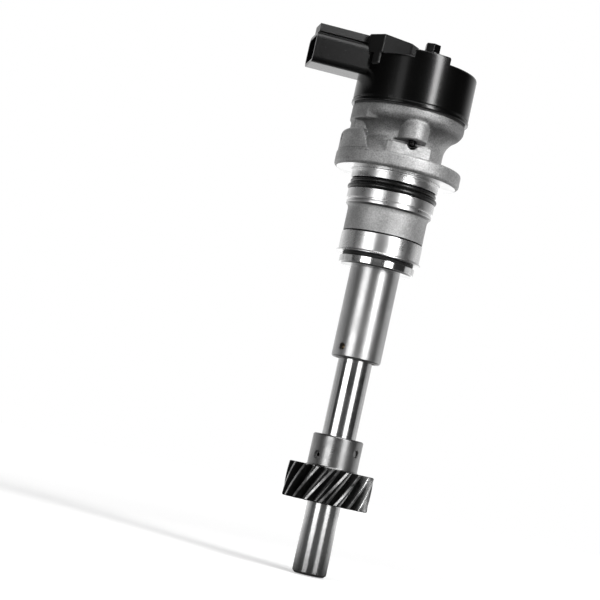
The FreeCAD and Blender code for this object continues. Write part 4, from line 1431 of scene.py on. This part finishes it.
@dataclass
class DriveGear:
    """The helical drive gear and its pinned hub."""

    finishes: dict[str, bpy.types.Material]
    teeth: int = 18
    module: float = 1.49
    helix_deg: float = 30.0
    pressure_deg: float = 20.0
    thinning: float = 0.96
    low_z: float = -131.0
    width: float = 13.8
    hub_r: float = 9.95
    hub_height: float = 12.6
    bore_r: float = 6.745
    steps: int = 14
    overrun: float = 1.0
    end_bevel: float = 0.35
    end_share: float = 0.975
    hole_flare: float = 0.28
    pins: tuple[Point, ...] = ((1.5875, 216.0, 4.3), (1.4, 312.0, 7.5))

    def tooth(self, tip_r: float, root_r: float, pitch_r: float) -> list[Span]:
        """Half of one tooth, from its tip down to the root.

        Args:
            tip_r: the radius of the teeth's tips.
            root_r: the radius between the teeth.
            pitch_r: the pitch radius.

        Returns:
            Its points as radius and angle from the tooth's middle.
        """
        helix, normal = math.radians(self.helix_deg), math.radians(self.pressure_deg)
        pressure = math.atan(math.tan(normal) / math.cos(helix))
        base_r = pitch_r * math.cos(pressure)

        def involute(radius: float) -> float:
            """How far the flank has turned at a radius."""
            roll = math.sqrt(max((radius / base_r) ** 2 - 1, 0))
            return roll - math.atan(roll)

        half = math.pi * self.thinning / (2 * self.teeth) + involute(pitch_r)
        gap = math.pi / self.teeth
        rows = [(tip_r, (half - involute(tip_r)) * share) for share in (0.0, 0.45, 0.85)]
        rows.append((tip_r - 0.04, half - involute(tip_r) - 0.002))
        for share in (0.93, 0.78, 0.6, 0.42, 0.24, 0.1):
            radius = max(base_r, root_r) + (tip_r - max(base_r, root_r)) * share
            rows.append((radius, half - involute(radius)))
        foot = half - involute(base_r)
        rows.append((root_r + 0.42, foot + (gap - foot) * 0.05))
        rows.append((root_r + 0.12, foot + (gap - foot) * 0.3))
        rows.append((root_r, foot + (gap - foot) * 0.68))
        return rows

    def pitch_r(self) -> float:
        """The pitch radius."""
        return self.teeth * self.module / math.cos(math.radians(self.helix_deg)) / 2

    def rim(self) -> Outline:
        """The whole outline of the toothed rim in the transverse plane."""
        pitch_r = self.pitch_r()
        rows = self.tooth(pitch_r + self.module, pitch_r - 1.25 * self.module, pitch_r)
        mirrored = [(radius, -angle) for radius, angle in reversed(rows[1:])]
        outline: Outline = []
        for index in range(self.teeth):
            middle = 2 * math.pi * (index + 0.5) / self.teeth
            for radius, angle in mirrored + rows:
                outline.append((radius * math.cos(middle + angle), radius * math.sin(middle + angle)))
        return in_metres(outline)

    def toothed(self) -> bpy.types.Object:
        """The rim: its outline in the plane, extruded and turned up the helix, with bevelled ends."""
        lead = 2 * math.pi * self.pitch_r() / math.tan(math.radians(self.helix_deg))
        share = self.end_share
        bevel, step = self.end_bevel, (self.width - 2 * self.end_bevel) / self.steps
        rises = [bevel] + [step] * self.steps + [bevel]
        clear_selection()
        outline = self.rim()
        bpy.ops.mesh.primitive_circle_add(vertices=len(outline), radius=MM, fill_type="NGON")
        rim = bpy.context.object
        rim.name = "toothed_rim"
        for vertex, (x, y) in zip(rim.data.vertices, outline):
            vertex.co = (x * share, y * share, self.low_z * MM)
        with editing(rim, select=True):
            self.turn_helix(self.overrun / lead)
            for index, rise in enumerate(rises):
                bpy.ops.mesh.extrude_region_move(TRANSFORM_OT_translate={"value": (0, 0, rise * MM)})
                self.turn_helix(rise / lead)
                if index in (0, len(rises) - 1):
                    grow = share if index else 1 / share
                    bpy.ops.transform.resize(value=(grow, grow, 1), center_override=(0, 0, 0))
        tidy_normals(rim)
        return rim

    def turn_helix(self, turns: float) -> None:
        """Turn what is selected by a part of a turn, the way that the teeth run."""
        bpy.ops.transform.rotate(value=-2 * math.pi * turns, orient_axis="Z", center_override=(0, 0, 0))

    def build(self) -> bpy.types.Object:
        """Unite rim and hub, bore them, drill the pin holes and finish the gear.

        Returns:
            The finished gear.
        """
        gear = self.toothed()
        gear.name = "helical_gear"
        top = self.low_z + self.width
        hub_top = top + self.hub_height
        outline = in_metres([
            (10.4, top - 6), (10.4, top), (self.hub_r + 0.5, top), (self.hub_r, top + 0.5),
            (self.hub_r, hub_top - 0.5), (self.hub_r - 0.5, hub_top),
        ])
        hub = turned("hub", soft_corners(outline, 0.15 * MM, closed=False), around=128)
        combine(gear, hub, "UNION")
        start, end = (self.low_z - 1) * MM, (hub_top + 1) * MM
        bore = rod("bore", self.bore_r * MM, (0, 0, start), (0, 0, end), 96)
        combine(gear, bore, "DIFFERENCE")
        reach, flare_r = 12, self.hub_r - 0.17
        for radius, azimuth, above in self.pins:
            level = Vector((0, 0, (top + above) * MM))
            way = outward(azimuth) * MM
            drill = rod("drill", radius * MM, level - way * reach, level + way * reach, 40)
            combine(gear, drill, "DIFFERENCE")
            wide = (radius + self.hole_flare) * MM
            for out in (-way, way):
                flare = rod("flare", wide, level + out * flare_r, level + out * reach, 40)
                combine(gear, flare, "DIFFERENCE")
        smooth(gear, 30)
        dress(gear, self.finishes["gear_steel"])
        hub_low = (top + 0.03) * MM
        assign(gear, self.finishes["hub_steel"], lambda face: face.center.z > hub_low)
        return deliver(gear, ROTOR_BODY, "drive_gear")


def facing(azimuth_deg: float) -> Vector:
    """The level direction from the part to where someone stands at an azimuth, measured from the front."""
    turn = math.radians(azimuth_deg)
    return Vector((math.sin(turn), -math.cos(turn), 0))


@dataclass(frozen=True)
class Lamp:
    """A rectangular soft light that faces the part, and that the camera doesn't see."""

    name: str
    turn_deg: float
    height: float
    size: Span
    power: float
    reach: float = 0.9
    aim_z: float = -0.05

    def build(self, azimuth_deg: float) -> None:
        """Set the lamp up, turned to the camera's right from the camera's own azimuth.

        Args:
            azimuth_deg: where the camera stands.
        """
        light = bpy.data.lights.new(self.name, "AREA")
        light.shape = "RECTANGLE"
        light.size, light.size_y = self.size
        light.energy = self.power
        holder = bpy.data.objects.new(self.name, light)
        holder.visible_camera = False
        bpy.context.collection.objects.link(holder)
        up = Vector((0, 0, 1))
        holder.location = facing(azimuth_deg + self.turn_deg) * self.reach + up * self.height
        aim = up * self.aim_z - holder.location
        holder.rotation_euler = aim.to_track_quat("-Z", "Y").to_euler()


@dataclass
class Studio:
    """The floor, world, lights and camera. The camera is fitted to the photograph's view."""

    azimuth_deg: float = -9.0
    rise_deg: float = 4.85
    roll_deg: float = 12.556
    distance: float = 764.0 * MM
    focus_z: float = -55.34 * MM
    aside: float = -26.43 * MM
    focal_px: float = 1945.0
    frame_px: float = 600.0
    sensor_mm: float = 36.0
    floor_gap: float = 0.4 * MM
    floor_size: float = 6.0
    lamps: tuple[Lamp, ...] = (
        Lamp("right_upper", 34.0, 0.4675, (0.20, 0.745), 8.4),
        Lamp("right_lower", 34.0, -0.03, (0.40, 0.25), 1.22),
        Lamp("left_upper", -33.0, 0.2975, (0.24, 0.405), 0.2),
        Lamp("left_lower", -38.0, -0.03, (0.46, 0.25), 1.8),
        Lamp("front_card", -2.0, 0.0475, (0.40, 0.095), 0.03),
        Lamp("left_card", -105.0, -0.03, (0.65, 0.25), 0.18),
        Lamp("right_card", 112.0, -0.03, (0.60, 0.25), 0.25),
        Lamp("left_wing", -65.0, 0.065, (0.40, 0.06), 0.034),
        Lamp("right_wing", 110.0, 0.065, (0.35, 0.06), 0.023),
        Lamp("overhead", 10.0, 0.95, (0.7, 0.7), 4.0, reach=0.35),
    )

    def camera(self) -> None:
        """Place the camera, below the flange and looking slightly up, rolled as in the photograph."""
        out, right, up = facing(self.azimuth_deg), outward(self.azimuth_deg), Vector((0, 0, 1))
        rise, roll = math.radians(self.rise_deg), math.radians(self.roll_deg)
        back = out * math.cos(rise) - up * math.sin(rise)
        top = up * math.cos(rise) + out * math.sin(rise)
        lens = bpy.data.cameras.new("camera")
        lens.sensor_width = self.sensor_mm
        lens.lens = self.focal_px * self.sensor_mm / self.frame_px
        lens.clip_start = 0.01
        lens.clip_end = 20.0
        camera = bpy.data.objects.new("camera", lens)
        bpy.context.collection.objects.link(camera)
        rolled_up = top * math.cos(roll) - right * math.sin(roll)
        rolled_right = right * math.cos(roll) + top * math.sin(roll)
        camera.rotation_mode = "QUATERNION"
        from_axes = [[rolled_right[i], rolled_up[i], back[i]] for i in range(3)]
        camera.rotation_quaternion = Matrix(from_axes).to_quaternion()
        camera.location = up * self.focus_z + right * self.aside + back * self.distance
        bpy.context.scene.camera = camera

    def world(self) -> None:
        """A white surround for the camera and for reflections, over a plain grey light."""
        world = bpy.data.worlds.new("studio")
        bpy.context.scene.world = world
        nodes = Nodes(world, "Generated")
        plain = nodes.shader("ShaderNodeBackground", Color=gray(0.75), Strength=0.15)
        to_camera = nodes.toward(facing(self.azimuth_deg))
        behind = nodes.remap(to_camera, -0.9, -0.3, 0.85, 0.026, "SMOOTHSTEP")
        mirrored = nodes.shader("ShaderNodeBackground", Color=behind)
        white = nodes.shader("ShaderNodeBackground", Color=gray(1.0))
        nodes.show(nodes.by_ray("Is Camera Ray", nodes.by_ray("Is Glossy Ray", plain, mirrored), white))

    def floor(self) -> None:
        """A plain pale floor just under the shaft's tip. It shows white and keeps the soft shadow."""
        low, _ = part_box("shaft")
        clear_selection()
        bpy.ops.mesh.primitive_plane_add(size=self.floor_size, location=(0, 0, low.z - self.floor_gap))
        floor = bpy.context.object
        floor.name = "floor"
        set_place(floor)
        nodes = Nodes(bpy.data.materials.new("pale_floor"))
        grain = nodes.bump(nodes.noise(3.0 * MM, 2.0), 0.01 * MM)
        dress(floor, nodes.finish(Base_Color=gray(0.82), Roughness=0.9, Normal=grain))
        behind = nodes.remap(nodes.toward(facing(self.azimuth_deg)), -0.6, 0.0, 1.3, 0.0)
        around = nodes.remap(nodes.radius(), 0.06, 0.40, 0.04, 0.22)
        dim = nodes.shader("ShaderNodeBsdfDiffuse", Color=gray(0.25))
        mirrored = nodes.shader("ShaderNodeEmission", Strength=nodes.math("ADD", behind, around))
        glow = nodes.shader("ShaderNodeEmission", Strength=nodes.remap(nodes.radius(), 0.25, 1.1, 0.5, 1.0))
        seen = nodes.add("ShaderNodeAddShader")
        nodes.feed(seen.inputs[0], nodes.tree.nodes["Principled BSDF"].outputs[0])
        nodes.feed(seen.inputs[1], glow)
        others = nodes.by_ray("Is Glossy Ray", dim, mirrored)
        nodes.show(nodes.by_ray("Is Camera Ray", others, seen.outputs[0]))

    def build(self) -> None:
        """Set up the whole studio."""
        bpy.context.scene.view_settings.view_transform = "Standard"
        self.world()
        self.floor()
        self.camera()
        for lamp in self.lamps:
            lamp.build(self.azimuth_deg)


def main() -> None:
    """Build the pieces in order, then the studio."""
    logging.basicConfig(level=logging.INFO, format="%(name)s %(message)s")
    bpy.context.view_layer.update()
    finishes = make_finishes()
    slots = {entry["node"]: entry["material_slot"] for entry in frame["record"]["subparts"]}
    for node, holder in frame["nodes"].items():
        for material_slot in holder.material_slots:
            material_slot.material = finishes[slots[node]]
        LOG.info("%s: %s", node, slots[node])
    for piece in (CastHead, TurnedBarrel, SealRing, SensorBase, SensorCap, SensorScrews, DriveGear):
        piece(finishes).build()
    Studio().build()


if __name__ == "__main__":
    main()
